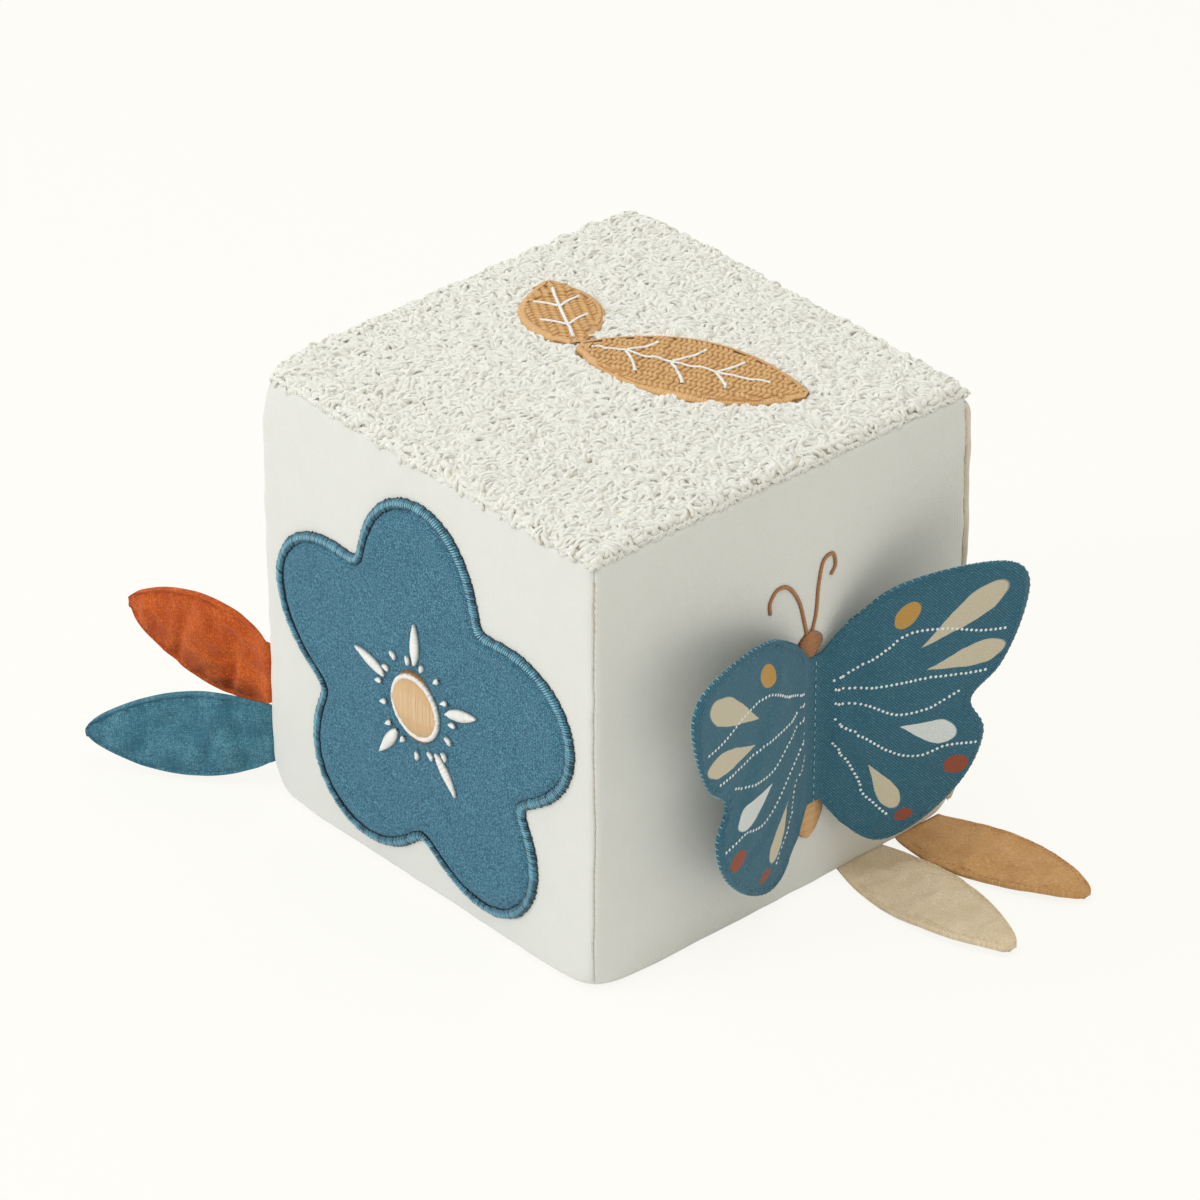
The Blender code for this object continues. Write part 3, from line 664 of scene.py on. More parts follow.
# %% The ground cloth
GROUND_LIFT = 1.2 * MM
terry_base, terry_cut = cover_panel("terry_ground", "top", GROUND_LIFT, terry_ground)
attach(terry_base, "block")
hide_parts("terry_top")

# %% The outline of a leaf, and where the sprig's two lie
LEAF_FULLNESS = 0.8
SPRIG_ROOT_SHARE = 0.16
SPRIG_STEM = Vector((-16, -1)) * MM
STEM_GAP = 1.2 * MM
SPRIG = {
    "large": (72 * MM, 34 * MM, math.radians(27)),
    "small": (40 * MM, 25 * MM, math.radians(150)),
}


def leaf_half_width(share, width, root_share, tip_turn=0.985):
    """Half the width of a pointed leaf at a share of its length, from its cut root to its tip."""
    root_turn = math.asin(root_share ** (1 / LEAF_FULLNESS)) / math.pi
    turn = math.pi * (root_turn + (tip_turn - root_turn) * share)
    return width / 2 * math.sin(turn) ** LEAF_FULLNESS


def sprig_edge(share, width):
    return leaf_half_width(share, width, SPRIG_ROOT_SHARE)


def in_sprig(x, y, margin):
    """Whether a place on the top lies on a leaf of the sprig, drawn in by a margin."""
    offset = Vector((x, y)) - SPRIG_STEM
    for length, width, turn in SPRIG.values():
        out = offset.x * math.cos(turn) + offset.y * math.sin(turn) - STEM_GAP
        side = -offset.x * math.sin(turn) + offset.y * math.cos(turn)
        if 0 < out / length < 1 and abs(side) < sprig_edge(out / length, width) - margin:
            return True
    return False


# %% The loops of the pile
LOOP_SPACING = 1.33 * MM
PILE_TURN = math.radians(33)
EDGE_TURN = math.radians(41)
EDGE_SPACING = 0.95 * MM
EDGE_LOOP = Vector((1.7, 1.7, 1.1)) * MM
PRESSED_RIM = 1.2 * MM
PILE_PIECES = 4
FLOW_LENGTH = 9 * MM
CLUMP_LENGTH = 4.5 * MM
CLUMP_RISE = 1.1 * MM


def pile_point(a, b):
    """The place and the normal on the terry at lengths a and b from its middle, measured round its edge."""
    length = max(abs(a), abs(b), 1e-6)
    turn = max(0.0, length - FLAT_REACH) / EDGE_ROUND
    reach = min(length, FLAT_REACH) + EDGE_ROUND * math.sin(turn)
    height = TOP - EDGE_ROUND * (1 - math.cos(turn)) + GROUND_LIFT * (1 - turn / (math.pi / 4))
    outward = Vector((math.copysign(1, a), 0, 0)) if abs(a) > abs(b) else Vector((0, math.copysign(1, b), 0))
    place = on_cover(a * reach / length, b * reach / length, height)
    return place, (UP * math.cos(turn) + outward * math.sin(turn)).normalized()


def pile_places():
    """A place for each loop: on a jittered grid, lying the way that the pile flows there, give or take."""
    reach = FLAT_REACH + EDGE_ROUND * PILE_TURN
    steps = int(2 * reach / LOOP_SPACING)
    places = []
    for i in range(steps + 1):
        for j in range(steps + 1):
            a, b = ((k + chance.uniform(-0.5, 0.5)) * LOOP_SPACING - reach for k in (i, j))
            at, normal = pile_point(a, b)
            if in_sprig(at.x, at.y, PRESSED_RIM):
                continue
            yaw = 6 * noise.noise(Vector((a, b, 0)) / FLOW_LENGTH) + chance.gauss(0, 0.6)
            flat = Vector((math.cos(yaw), math.sin(yaw), 0))
            along = (flat - normal * flat.dot(normal)).normalized()
            lean = normal.cross(along) * chance.choice((-1, 1)) * chance.uniform(0.3, 1.3)
            size = [chance.uniform(*ends) * MM for ends in ((1.5, 2.5), (2.2, 2.8), (1.3, 1.7))]
            depth = 0.75 * MM - CLUMP_RISE * noise.noise(Vector((a, b, 50 * MM)) / CLUMP_LENGTH)
            places.append(placed(at - normal * depth, along, (normal + lean).normalized(), size))

    # One more row of small loops right at the seam hides the ground cloth there.
    rim = FLAT_REACH + EDGE_ROUND * EDGE_TURN
    for k in range(int(2 * rim / EDGE_SPACING) + 1):
        for side in range(4):
            a, b = k * EDGE_SPACING - rim + chance.uniform(-0.3, 0.3) * MM, rim * (1 if side < 2 else -1)
            at, normal = pile_point(*((a, b) if side % 2 else (b, a)))
            along = Vector((1, 0, 0)) if side % 2 else Vector((0, 1, 0))
            along = (along + normal.cross(along) * chance.uniform(-0.8, 0.8)).normalized()
            size = EDGE_LOOP * chance.uniform(0.8, 1.1)
            places.append(placed(at - normal * 0.4 * MM, along, normal, size))
    chance.shuffle(places)
    return places


loops = pile_places()
for part in range(PILE_PIECES):
    pile = copies(f"terry_pile_{part + 1}", LOOP, loops[part::PILE_PIECES], terry_yarn)

# %% [markdown]
# ## Satin stitch
# A satin-stitched shape is many threads laid side by side from one edge to the other. So each shape is
# given as pairs of points, one pair for each thread, and an arch of thread is set between them. The
# flower's edge, the stamens, the veins and the butterfly's body are all made this way.

# %% Threads between pairs of points
THREAD_PITCH = 0.45 * MM


def satin(name, pairs, height, material, width=THREAD_PITCH, uneven=0.04, fill=0.95):
    """Threads laid between pairs of (first, second, normal), each as high in its middle as height.

    The fill says how far each one reaches over its neighbour: the less, the more the threads show apart.
    """
    places = []
    for first, second, normal in pairs:
        half = (second - first) / 2
        long = half.length * (1 + chance.uniform(-uneven, uneven))
        size = (long, width * fill / ARCH_THICKNESS, height * chance.uniform(0.9, 1.1))
        places.append(placed((first + second) / 2, half, normal, size))
    return copies(name, ARCH, places, material)


def pair_on(surface, first, second):
    """One thread between two flat points on a surface, which maps a flat point to (place, normal)."""
    start, normal = surface(first)
    return start, surface(second)[0], normal


def lens_pairs(surface, centre, turn, length, width, bulge=1.0, point=0.7):
    """Threads across a lens on a surface. At a point of 0.5 the lens is round."""
    along = Vector((math.cos(turn), math.sin(turn)))
    across = Vector((-along.y, along.x))
    count = max(4, round(length / THREAD_PITCH))
    pairs = []
    for i in range(count):
        share = (i + 0.5) / count
        half = across * width / 2 * math.sin(math.pi * share ** bulge) ** point
        middle = centre + along * (share - 0.5) * length
        pairs.append(pair_on(surface, middle - half, middle + half))
    return pairs


# %% Paths for rows of stitches
def along_path(points, pitch):
    """(place, direction) at each pitch along a path of flat points."""
    found, travelled = [], 0.0
    for a, b in zip(points, points[1:]):
        span = (b - a).length
        while travelled < span:
            found.append((a.lerp(b, travelled / span), (b - a).normalized()))
            travelled += pitch
        travelled -= span
    return found


def curve_point(corners, first, t):
    """A point of a smooth curve through corners, at a share t of its span after the first corner named."""
    a, b, c, d = (Vector(corners[min(max(first + k, 0), len(corners) - 1)]) for k in (-1, 0, 1, 2))
    bend, twist = a * 2 - b * 5 + c * 4 - d, b * 3 - a - c * 3 + d
    return b + ((c - a) * t + bend * t**2 + twist * t**3) / 2


def smooth_path(corners, count):
    """A smooth path through corners given in millimetres, in count steps for each span."""
    corners = [Vector(corner) * MM for corner in corners]
    points = [curve_point(corners, i, k / count) for i in range(len(corners) - 1) for k in range(count)]
    return points + [corners[-1]]


# %% [markdown]
# ## The flower patch
# The patch is blue cotton laid on the front panel, and a dense satin stitch runs round its edge and holds
# it. Its middle is one piece with the block, but the thread pulls the edge down, so the cloth rises a
# little beside it. Its outline is a plain five-petalled flower from one formula: a circle whose radius
# swells and dips five times.

# %% The outline of the flower
FLOWER_HEIGHT = 68 * MM
FLOWER_REACH = HALF - 7.2 * MM
PETALS = 5
PETAL_BASE_SHARE = 0.47
PETAL_NOTCH_SHARE = 0.30
PETAL_FULLNESS = 0.34


def flower_outline(turn):
    """The middle of the satin edge, as (x, z) from the flower's centre, at a turn from straight up."""
    swing = math.cos(PETALS * turn / 2) ** 2 + PETAL_NOTCH_SHARE**2
    lobe = (swing / (1 + PETAL_NOTCH_SHARE**2)) ** PETAL_FULLNESS
    radius = FLOWER_REACH * (PETAL_BASE_SHARE + (1 - PETAL_BASE_SHARE) * lobe)
    return Vector((radius * math.sin(turn), radius * math.cos(turn)))


def flower_offset(turn, distance):
    """A point at that distance outside the outline, measured square to it."""
    step = math.radians(0.5)
    tangent = (flower_outline(turn + step) - flower_outline(turn - step)).normalized()
    return flower_outline(turn) + Vector((-tangent.y, tangent.x)) * distance


def on_front(point, lift=0.0):
    """The place on the front panel of an (x, z) point from the flower's centre, and the way out from it."""
    return on_cover(point.x, -HALF - lift, FLOWER_HEIGHT + point.y), Vector((0, -1, 0))


# %% The petal cloth
PATCH_LIFT = 0.9 * MM
PATCH_ROWS = 40
PATCH_INSET = 0.6 * MM
PATCH_SWELL = 0.5 * MM
PATCH_PULL = 0.6 * MM
PATCH_WAVE = 0.25 * MM


def swell_at(distance, middle, width):
    """A bell from 0 to 1, which is highest at a middle."""
    return math.exp(-(((distance - middle) / width) ** 2))


def petal_spot(u, v):
    """A flat point of the patch: u runs round it, and v from its middle to its edge, under the satin."""
    return flower_offset(math.pi * u, -PATCH_INSET) * (v + 1) / 2


bm = flat_grid(40 * PETALS, PATCH_ROWS, petal_spot)
for vertex in bm.verts:
    u, v = vertex.co.x, vertex.co.y
    to_edge = (1 - v) / 2 * FLOWER_REACH
    flat = petal_spot(u, v)
    rise = PATCH_LIFT + PATCH_SWELL * swell_at(to_edge, 6 * MM, 3.5 * MM)
    rise -= PATCH_PULL * swell_at(to_edge, 0, 2.5 * MM)
    rise += PATCH_WAVE * noise.noise(Vector((flat.x, flat.y, 0)) / (13 * MM))
    vertex.co = on_front(flat, rise)[0]
bmesh.ops.remove_doubles(bm, verts=bm.verts, dist=0.01 * MM)
bmesh.ops.recalc_face_normals(bm, faces=bm.faces[:])
patch = finished("flower_cloth", bm, blue_cotton)
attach(patch, "block")
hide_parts("flower_patch")
print("flower is", round(2 * FLOWER_REACH / MM), "mm across")

# %% The satin edge
SATIN_HALF = 1.45 * MM
SATIN_PITCH = 0.8 * MM
SATIN_SLANT = 0.55 * MM
outline = [flower_outline(math.tau * i / 360) for i in range(361)]
edge_length = sum((b - a).length for a, b in zip(outline, outline[1:]))
flower_area = abs(sum(a.cross(b) for a, b in zip(outline, outline[1:]))) / 2
edge_pairs = []
turn = 0.0
while turn < math.tau:
    speed = (flower_outline(turn + 0.001) - flower_outline(turn)).length / 0.001
    slant = SATIN_SLANT / speed
    first, normal = on_front(flower_offset(turn - slant, -SATIN_HALF), 0.5 * MM)
    second, _ = on_front(flower_offset(turn + slant, SATIN_HALF))
    edge_pairs.append((first, second, normal))
    turn += SATIN_PITCH / speed
satin_edge = satin("flower_satin_edge_threads", edge_pairs, 1.1 * MM, threads["blue"], SATIN_PITCH,
                   uneven=0.16, fill=0.62)
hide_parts("flower_satin_edge")
print("satin edge is", round(edge_length / MM), "mm long")

# %% [markdown]
# ## The stitches on the flower
# The middle is a disc of tan thread with white stamens round it: long ones that taper both ways, and
# seeds of a few threads each between them. They are sewn through the patch, so they sit right on its
# cloth.

# %% The eye, the stamens and the seeds
EYE_RADIUS = 10 * MM
RING_IN = 0.7 * MM
RING_OUT = 0.8 * MM


def on_patch(point):
    return on_front(point, PATCH_LIFT + 0.25 * MM)


def toward(turn):
    """The flat direction at a turn."""
    return Vector((math.cos(turn), math.sin(turn)))


eye_pairs = []
for i in range(round(2 * EYE_RADIUS / THREAD_PITCH)):
    x = -EYE_RADIUS + (i + 0.5) * THREAD_PITCH
    half = math.sqrt(EYE_RADIUS**2 - x**2)
    eye_pairs.append(pair_on(on_patch, Vector((x, -half)), Vector((x, half))))
eye = satin("flower_eye_threads", eye_pairs, 1.1 * MM, threads["pale_tan"])
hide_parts("flower_eye")

ring_pairs = []
for i in range(round(math.tau * EYE_RADIUS / THREAD_PITCH)):
    way = toward(i * THREAD_PITCH / EYE_RADIUS)
    ring_pairs.append(pair_on(on_patch, way * (EYE_RADIUS - RING_IN), way * (EYE_RADIUS + RING_OUT)))
eye_ring = satin("flower_eye_ring_threads", ring_pairs, 1.0 * MM, threads["white"], uneven=0.12)

stamens = []
for i in range(PETALS):
    turn = math.pi / 2 + math.tau * i / PETALS
    stamens += lens_pairs(on_patch, toward(turn) * 22 * MM, turn, 14 * MM, 3.4 * MM, 0.8)
for i in range(3 * PETALS):
    turn = math.pi / 2 + math.tau * (i + 0.5) / (3 * PETALS)
    centre = toward(turn) * (15.5 + 1.5 * (i % 2)) * MM
    stamens += lens_pairs(on_patch, centre, turn + chance.uniform(-0.3, 0.3), 2.6 * MM, 1.6 * MM)
stamen_threads = satin("flower_stamen_threads", stamens, 0.9 * MM, threads["white"])

# %% [markdown]
# ## The corduroy sprig
# The two leaves on the top are a thick ribbed cloth. Its rows are short tufts that lean one way in a row
# and the other way in the next, as in a braid. Tufts this large would look painted as a bump, so they're
# round stitches on a padded leaf, which shade each other. A smooth satin border holds the leaf down, and
# white veins cross it.

# %% The cloth under the tufts
ROW_PITCH = 2.4 * MM
TUFT_PITCH = 1.7 * MM
TUFT_LEAN = math.radians(35)
TUFT_SIZE = (1.45 * MM, 0.74 * MM, 0.55 * MM)


def corduroy():
    """The ground between the ribs, dark since little light gets there, with a furrow for each row."""
    material, tree, shader = new_material("tan_corduroy", 0.95, 0.3)
    uv = add(tree, "ShaderNodeUVMap", uv_map=UV_NAME).outputs[0]
    split = add(tree, "ShaderNodeSeparateXYZ", {0: uv})
    across = math_of(tree, "MULTIPLY", split.outputs[1], math.pi / ROW_PITCH)
    rib = math_of(tree, "ABSOLUTE", math_of(tree, "SINE", across))
    height = math_of(tree, "MULTIPLY", rib, grain_of(tree, uv, 0.7 * MM, 3))
    dress(tree, shader, mixed(tree, height, "#B27D48", "#D6A36A"), height, 0.6, 0.4 * MM)
    return material


tan_corduroy = corduroy()
# The first tone is a painted highlight on a tuft's top and the last a painted shade at its foot.
tuft_tones = ("#E0B780", "#DAAE72", "#D1A265", "#A9793F")
tan_tufts = strand("tan_corduroy_tufts", *tuft_tones, 0.9, 0.35, 0.5 * MM)

# %% A leaf's own measure, and the tufts on it
PILE = 2.2 * MM
SPRIG_LEVEL = TOP + PILE
BORDER_WIDTH = 1.9 * MM
SEARCH_LIFT = 2 * MM


def sprig_surface(name):
    """The map from a leaf's own flat (out, side) to its place on the terry."""
    along = toward(SPRIG[name][2])
    across = Vector((-along.y, along.x))

    def surface(flat, lift=0.9 * MM):
        spot = SPRIG_STEM + along * (flat.x + STEM_GAP) + across * flat.y
        return on_cover(spot.x, spot.y, SPRIG_LEVEL + lift), UP

    return surface


def tuft_places(surface, leaf_tree, length, width):
    """A tuft at each pitch of each row, as far as the border of the leaf."""
    places = []
    rows = round(width / ROW_PITCH / 2)
    for row in range(-rows, rows + 1):
        lean = TUFT_LEAN if row % 2 else -TUFT_LEAN
        way = Vector((math.sin(lean), math.cos(lean)))
        for k in range(round(length / TUFT_PITCH)):
            spot = Vector(((k + 0.5) * TUFT_PITCH, row * ROW_PITCH + chance.uniform(-0.1, 0.1) * MM))
            if abs(spot.y) > sprig_edge(spot.x / length, width) - 0.85 * BORDER_WIDTH:
                continue
            at, normal, _, _ = leaf_tree.find_nearest(surface(spot, SEARCH_LIFT)[0])
            ahead = surface(spot + way * MM)[0] - surface(spot)[0]
            size = [side * chance.uniform(0.92, 1.08) for side in TUFT_SIZE]
            places.append(placed(at, ahead, normal, size))
    return places


def line_pairs(surface, leaf_tree, points):
    """Threads across a line of white stitching, lifted off a leaf, along a path of flat points."""
    pairs = []
    for spot, direction in along_path(points, 0.75 * THREAD_PITCH):
        across = Vector((-direction.y, direction.x)) * VEIN_WIDTH / 2
        sides = (spot - across, spot + across)
        ends = [leaf_tree.find_nearest(surface(end, SEARCH_LIFT)[0]) for end in sides]
        normal = ends[0][1]
        pairs.append((ends[0][0] + normal * VEIN_LIFT, ends[1][0] + normal * VEIN_LIFT, normal))
    return pairs


# %% The two leaves, their borders and their veins
SPRIG_PUFF = 0.9 * MM
SPRIG_ROLL = 1.6 * MM
SPRIG_WAVE = 0.15 * MM
VEIN_WIDTH = 0.95 * MM
VEIN_LIFT = 0.3 * MM
VEIN_PAIRS = {"large": (0.2, 0.4, 0.6), "small": (0.25, 0.55)}
for name, (length, width, _) in SPRIG.items():
    surface = sprig_surface(name)

    def flat(u, v):
        share = (u + 1) / 2
        return (share * length, v * sprig_edge(share, width))

    def place(u, v, side):
        spot = Vector(flat(u, v))
        to_rim = min(1 - abs(v), (1 - u) / 2 * length / width, (1 + u) / 2 * length / width) * width / 2
        puff = SPRIG_PUFF * (1 - math.exp(-to_rim / SPRIG_ROLL))
        ripple = SPRIG_WAVE * noise.noise(Vector((spot.x, spot.y, 3)) / (7 * MM))
        return surface(spot, puff + ripple if side > 0 else -0.6 * MM)[0]

    leaf = settled(pad(f"sprig_leaf_{name}", 60, 30, flat, place, tan_corduroy), 0.3, 0.02, 0.5 * MM)
    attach(leaf, "block")
    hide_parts(f"corduroy_leaf_{name}")
    leaf_tree = surface_tree(leaf)

    tufts = copies(f"sprig_tufts_{name}", ROUND, tuft_places(surface, leaf_tree, length, width), tan_tufts)

    border = []
    for side in (-1, 1):
        rim = [Vector((length * i / 80, side * sprig_edge(i / 80, width))) for i in range(81)]
        for spot, direction in along_path(rim, THREAD_PITCH):
            inward = Vector((direction.y, -direction.x)) * side
            reach = min(BORDER_WIDTH, 0.9 * abs(spot.y))
            inner, normal = surface(spot + inward * reach, 0.75 * MM)
            outer, _ = surface(spot - inward * 0.35 * MM, -0.5 * MM)
            border.append((inner, outer, normal))
    for end, step in ((0.2 * MM, THREAD_PITCH), (length - 0.2 * MM, -THREAD_PITCH)):
        for k in range(7):
            x = end + k * step
            half = sprig_edge(x / length, width) + 0.2 * MM
            first, normal = surface(Vector((x, -half)), 0.2 * MM)
            border.append((first, surface(Vector((x, half)), 0.2 * MM)[0], normal))
    satin(f"sprig_border_{name}", border, 0.5 * MM, threads["tan"])

    midrib = [Vector((share * length, 0)) for share in (0.06, 0.3, 0.55, 0.84)]
    veins = line_pairs(surface, leaf_tree, midrib)
    for start_share in VEIN_PAIRS[name]:
        start = start_share * length
        reach = 0.62 * sprig_edge(start_share + 0.12, width)
        for side in (-1, 1):
            steps = [i / 12 for i in range(1, 13)]
            path = [Vector((start + reach * (1.1 * t - 0.35 * t * t), side * reach * t)) for t in steps]
            veins += line_pairs(surface, leaf_tree, path)
    satin(f"sprig_veins_{name}", veins, 0.35 * MM, threads["white"])

# %% [markdown]
# ## The butterfly's wings
# Each wing is printed twill in front and behind, sewn round, turned and stitched down along its root. It
# stands off the side of the block, so both its faces and its edge show. The print is drawn on the cloth's
# map, in millimetres from the root and from the wing's foot: each printed shape is an ellipse or a drop,
# tested by its distance from its centre.

# %% The outline of a wing
WING_SPAN = 65 * MM
WING_HEIGHT = 92 * MM
WING_LOW = 16.5 * MM
ROOT_Y = 9 * MM
WING_MARGIN_SHARES = (
    (0.00, 0.76), (0.14, 0.87), (0.36, 0.965), (0.64, 1.00), (0.90, 0.985),
    (1.00, 0.91), (0.97, 0.76), (0.87, 0.60), (0.73, 0.49), (0.80, 0.36),
    (0.72, 0.20), (0.52, 0.06), (0.30, 0.00), (0.13, 0.08), (0.00, 0.20),
)
WING_CORNERS = [(x * WING_SPAN, y * WING_HEIGHT) for x, y in WING_MARGIN_SHARES]


def margin_point(share):
    """The margin of a wing at a share of the way round, on a smooth curve through its corners."""
    spans = len(WING_CORNERS) - 1
    at = min(share * spans, spans - 1e-6)
    return curve_point(WING_CORNERS, int(at), at - int(at))


# %% A wing stands off the block
WINGS = {"right": (1, math.radians(27)), "left": (-1, math.radians(19))}
WING_CURL = 3.5 * MM
SEWN_WIDTH = 2.5 * MM
BEND_HALF = 2 * MM
hinges = {joint["name"]: Vector(joint["pos_m"]) for joint in frame["joints"] if "pos_m" in joint}


def wing_place(name, flat, lift):
    """A point of a wing from its flat (out, up), lifted to its front. Out below 0 is sewn down."""
    side, opening = WINGS[name]
    hinge = hinges[f"{name}_wing_fold"]
    turn = opening * min(1.0, max(0.0, (flat.x + BEND_HALF) / (2 * BEND_HALF)))
    radius = 2 * BEND_HALF / opening
    past = max(0.0, flat.x - BEND_HALF)
    out = min(flat.x, -BEND_HALF) + radius * math.sin(turn) + past * math.cos(turn)
    off = radius * (1 - math.cos(turn)) + past * math.sin(turn)
    lifted = lift - WING_CURL * (max(0.0, flat.x) / WING_SPAN) ** 2
    x = hinge.x + off + lifted * math.cos(turn)
    y = hinge.y + side * (out - lifted * math.sin(turn))
    return Vector((x, y, WING_LOW + flat.y))


# %% Printed twill
TWILL_PITCH = 0.85 * MM
PRINTS = (
    ("#D9CDB2", (45, 76), (16.0, 5.2), 34, 0.15),
    ("#D9CDB2", (46, 61), (12.5, 4.6), 10, 0.15),
    ("#CB9A45", (27, 79), (5.0, 3.3), 52, 1.0),
    ("#E6EAE8", (34, 38), (9.5, 4.6), -18, 0.15),
    ("#9C4722", (43, 24), (4.0, 3.4), 0, 1.0),
    ("#D9CDB2", (20, 21), (9.5, 3.8), -62, 0.15),
    ("#9C4722", (27, 9), (3.0, 2.6), 0, 1.0),
)


def printed(tree, cloth, colour, code, centre, radii, turn, root_share):
    """A colour with one printed shape on it: its middle and half sizes in mm, and its turn in degrees.

    The root share is how much of its width it keeps at its root: 1 for a round spot, and less for a drop.
    """
    local = add(tree, "ShaderNodeMapping", {
        "Vector": cloth,
        "Location": (centre[0] * MM, centre[1] * MM, 0),
        "Rotation": (0, 0, math.radians(turn)),
        "Scale": (radii[0] * MM, radii[1] * MM, 1),
    }, vector_type="TEXTURE")
    part = add(tree, "ShaderNodeSeparateXYZ", {0: local.outputs[0]})
    taper = ranged(tree, part.outputs[0], -1.0, 0.5, root_share, 1.0)
    across = math_of(tree, "DIVIDE", part.outputs[1], taper)
    squares = [math_of(tree, "MULTIPLY", value, value) for value in (part.outputs[0], across)]
    inked = ranged(tree, math_of(tree, "ADD", *squares), 1.05, 0.93, 0.0, 0.95)
    return mixed(tree, inked, colour, code)


def printed_twill():
    """Blue twill with fine diagonal ribs, and ink that takes the cloth's relief."""
    material, tree, shader = new_material("blue_printed_twill", 0.85, 0.12)
    height, cloth = weave(tree, TWILL_PITCH)
    split = add(tree, "ShaderNodeSeparateXYZ", {0: cloth})
    slope = math_of(tree, "ADD", split.outputs[0], split.outputs[1])
    wave = math_of(tree, "SINE", math_of(tree, "MULTIPLY", slope, math.tau / (1.2 * TWILL_PITCH)))
    rib = ranged(tree, wave, -1.0, 1.0)
    fleck = grain_of(tree, cloth, 0.7 * MM, 3)
    pale = ranged(tree, fleck, 0.5, 0.8, 0.0, 0.5)
    # The ribs are lighter on their tops and darker in the grooves between them: a painted shade.
    colour = mixed(tree, math_of(tree, "MULTIPLY", rib, 0.6), "#1F5369", "#3F7F93")
    colour = mixed(tree, math_of(tree, "MULTIPLY", pale, rib), colour, "#86B5C0")
    for shape in PRINTS:
        colour = printed(tree, cloth, colour, *shape)
    worn = math_of(tree, "MULTIPLY", math_of(tree, "MULTIPLY", height, fleck), 0.16)
    relief = math_of(tree, "ADD", *(math_of(tree, "MULTIPLY", *part) for part in ((rib, 0.7), (height, 0.5))))
    dress(tree, shader, mixed(tree, worn, colour, "#2C6176"), relief, 0.6, 0.15 * MM)
    return material


blue_twill = printed_twill()

# %% The two wings
RIM_HALF = 0.45 * MM
WING_PUFFS = {1: 0.7 * MM, -1: 0.4 * MM}
SEWN_SHARE = 0.12
WING_ROLL = 4 * MM
ROOT_FLATNESS = 6 * MM
HELD_WIDTH = 4 * MM


def wing_flat(u, v):
    """The flat place of a wing's cloth: u runs from the middle line of the butterfly to the margin."""
    share = (v + 1) / 2
    root_top, root_low = WING_CORNERS[0][1], WING_CORNERS[-1][1]
    root = Vector((-SEWN_WIDTH, root_top + (root_low - root_top) * share))
    sewn = Vector((0, root.y))
    reach = (u + 1) / 2
    if reach < SEWN_SHARE:
        return root.lerp(sewn, reach / SEWN_SHARE)
    return sewn.lerp(margin_point(share), (reach - SEWN_SHARE) / (1 - SEWN_SHARE))


def near_margin(flat, u, v):
    """How far a point is from the rim of its wing, roughly."""
    return (1 - (u + 1) / 2) * max(0.35 * WING_SPAN, (margin_point((v + 1) / 2) - Vector((0, flat.y))).length)


wing_trees = {}
for name in WINGS:

    def place(u, v, side):
        flat = wing_flat(u, v)
        full = 1 - math.exp(-near_margin(flat, u, v) / WING_ROLL)
        puff = WING_PUFFS[side] * full * min(1.0, max(0.0, flat.x / ROOT_FLATNESS))
        return wing_place(name, flat, side * (RIM_HALF + puff))

    def held(u, v):
        return wing_flat(u, v).x < HELD_WIDTH

    wing = pad(f"butterfly_wing_{name}", 36, 84, wing_flat, place, blue_twill, held)
    settled(wing, 0.6, 0.015, 0.9 * MM)
    wing_trees[name] = surface_tree(wing)
    across = Vector((0, WINGS[name][0], 0)) * 2 * MM
    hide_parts(f"{name}_wing_front_cloth", f"{name}_wing_back_cloth")
    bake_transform(wing)

# %% [markdown]
# ## Stitches on the wings
# The wings are topstitched close to their edge and dotted in white along their veins. Both are real rows
# on the cloth, so each stitch is set on the sewn pad with the cloth's own normal there, and rides on the
# body of its wing. A row of overcast stitches runs round the rim, but not near the root, where the wing
# bends.

# %% A row of stitches along a path on a wing
VEINS = (
    ((4, 60), (14, 65), (26, 72), (38, 72), (50, 69), (59, 68)),
    ((4, 57), (16, 56), (30, 56), (42, 55), (52, 55)),
    ((4, 52), (14, 50), (24, 45), (36, 46), (44, 49)),
    ((4, 46), (12, 40), (22, 32), (30, 29), (40, 31), (50, 30)),
    ((3, 38), (9, 30), (14, 18), (22, 9)),
)
DOT_SIZE = (0.5 * MM, 0.5 * MM, 0.14 * MM)
TOPSTITCH_SIZE = (1.0 * MM, 0.22 * MM, 0.18 * MM)
TOPSTITCH_IN = 1.8 * MM
OVERCAST_SIZE = (0.7 * MM, 0.17 * MM, 0.22 * MM)
SEWN_DOWN = 7.5 * MM


def wing_stitches(name, wing, points, pitch, size, material):
    """Stitches set along a flat path on both faces of a wing."""
    places = []
    for spot, direction in along_path(points, pitch):
        for face in (1, -1):
            at, normal, _, _ = wing_trees[wing].find_nearest(wing_place(wing, spot, face * 3 * MM))
            ahead = wing_place(wing, spot + direction * 0.3 * MM, 0) - wing_place(wing, spot, 0)
            places.append(placed(at, ahead, normal, size))
    copies(name, ROUND, places, material, f"{wing}_wing")


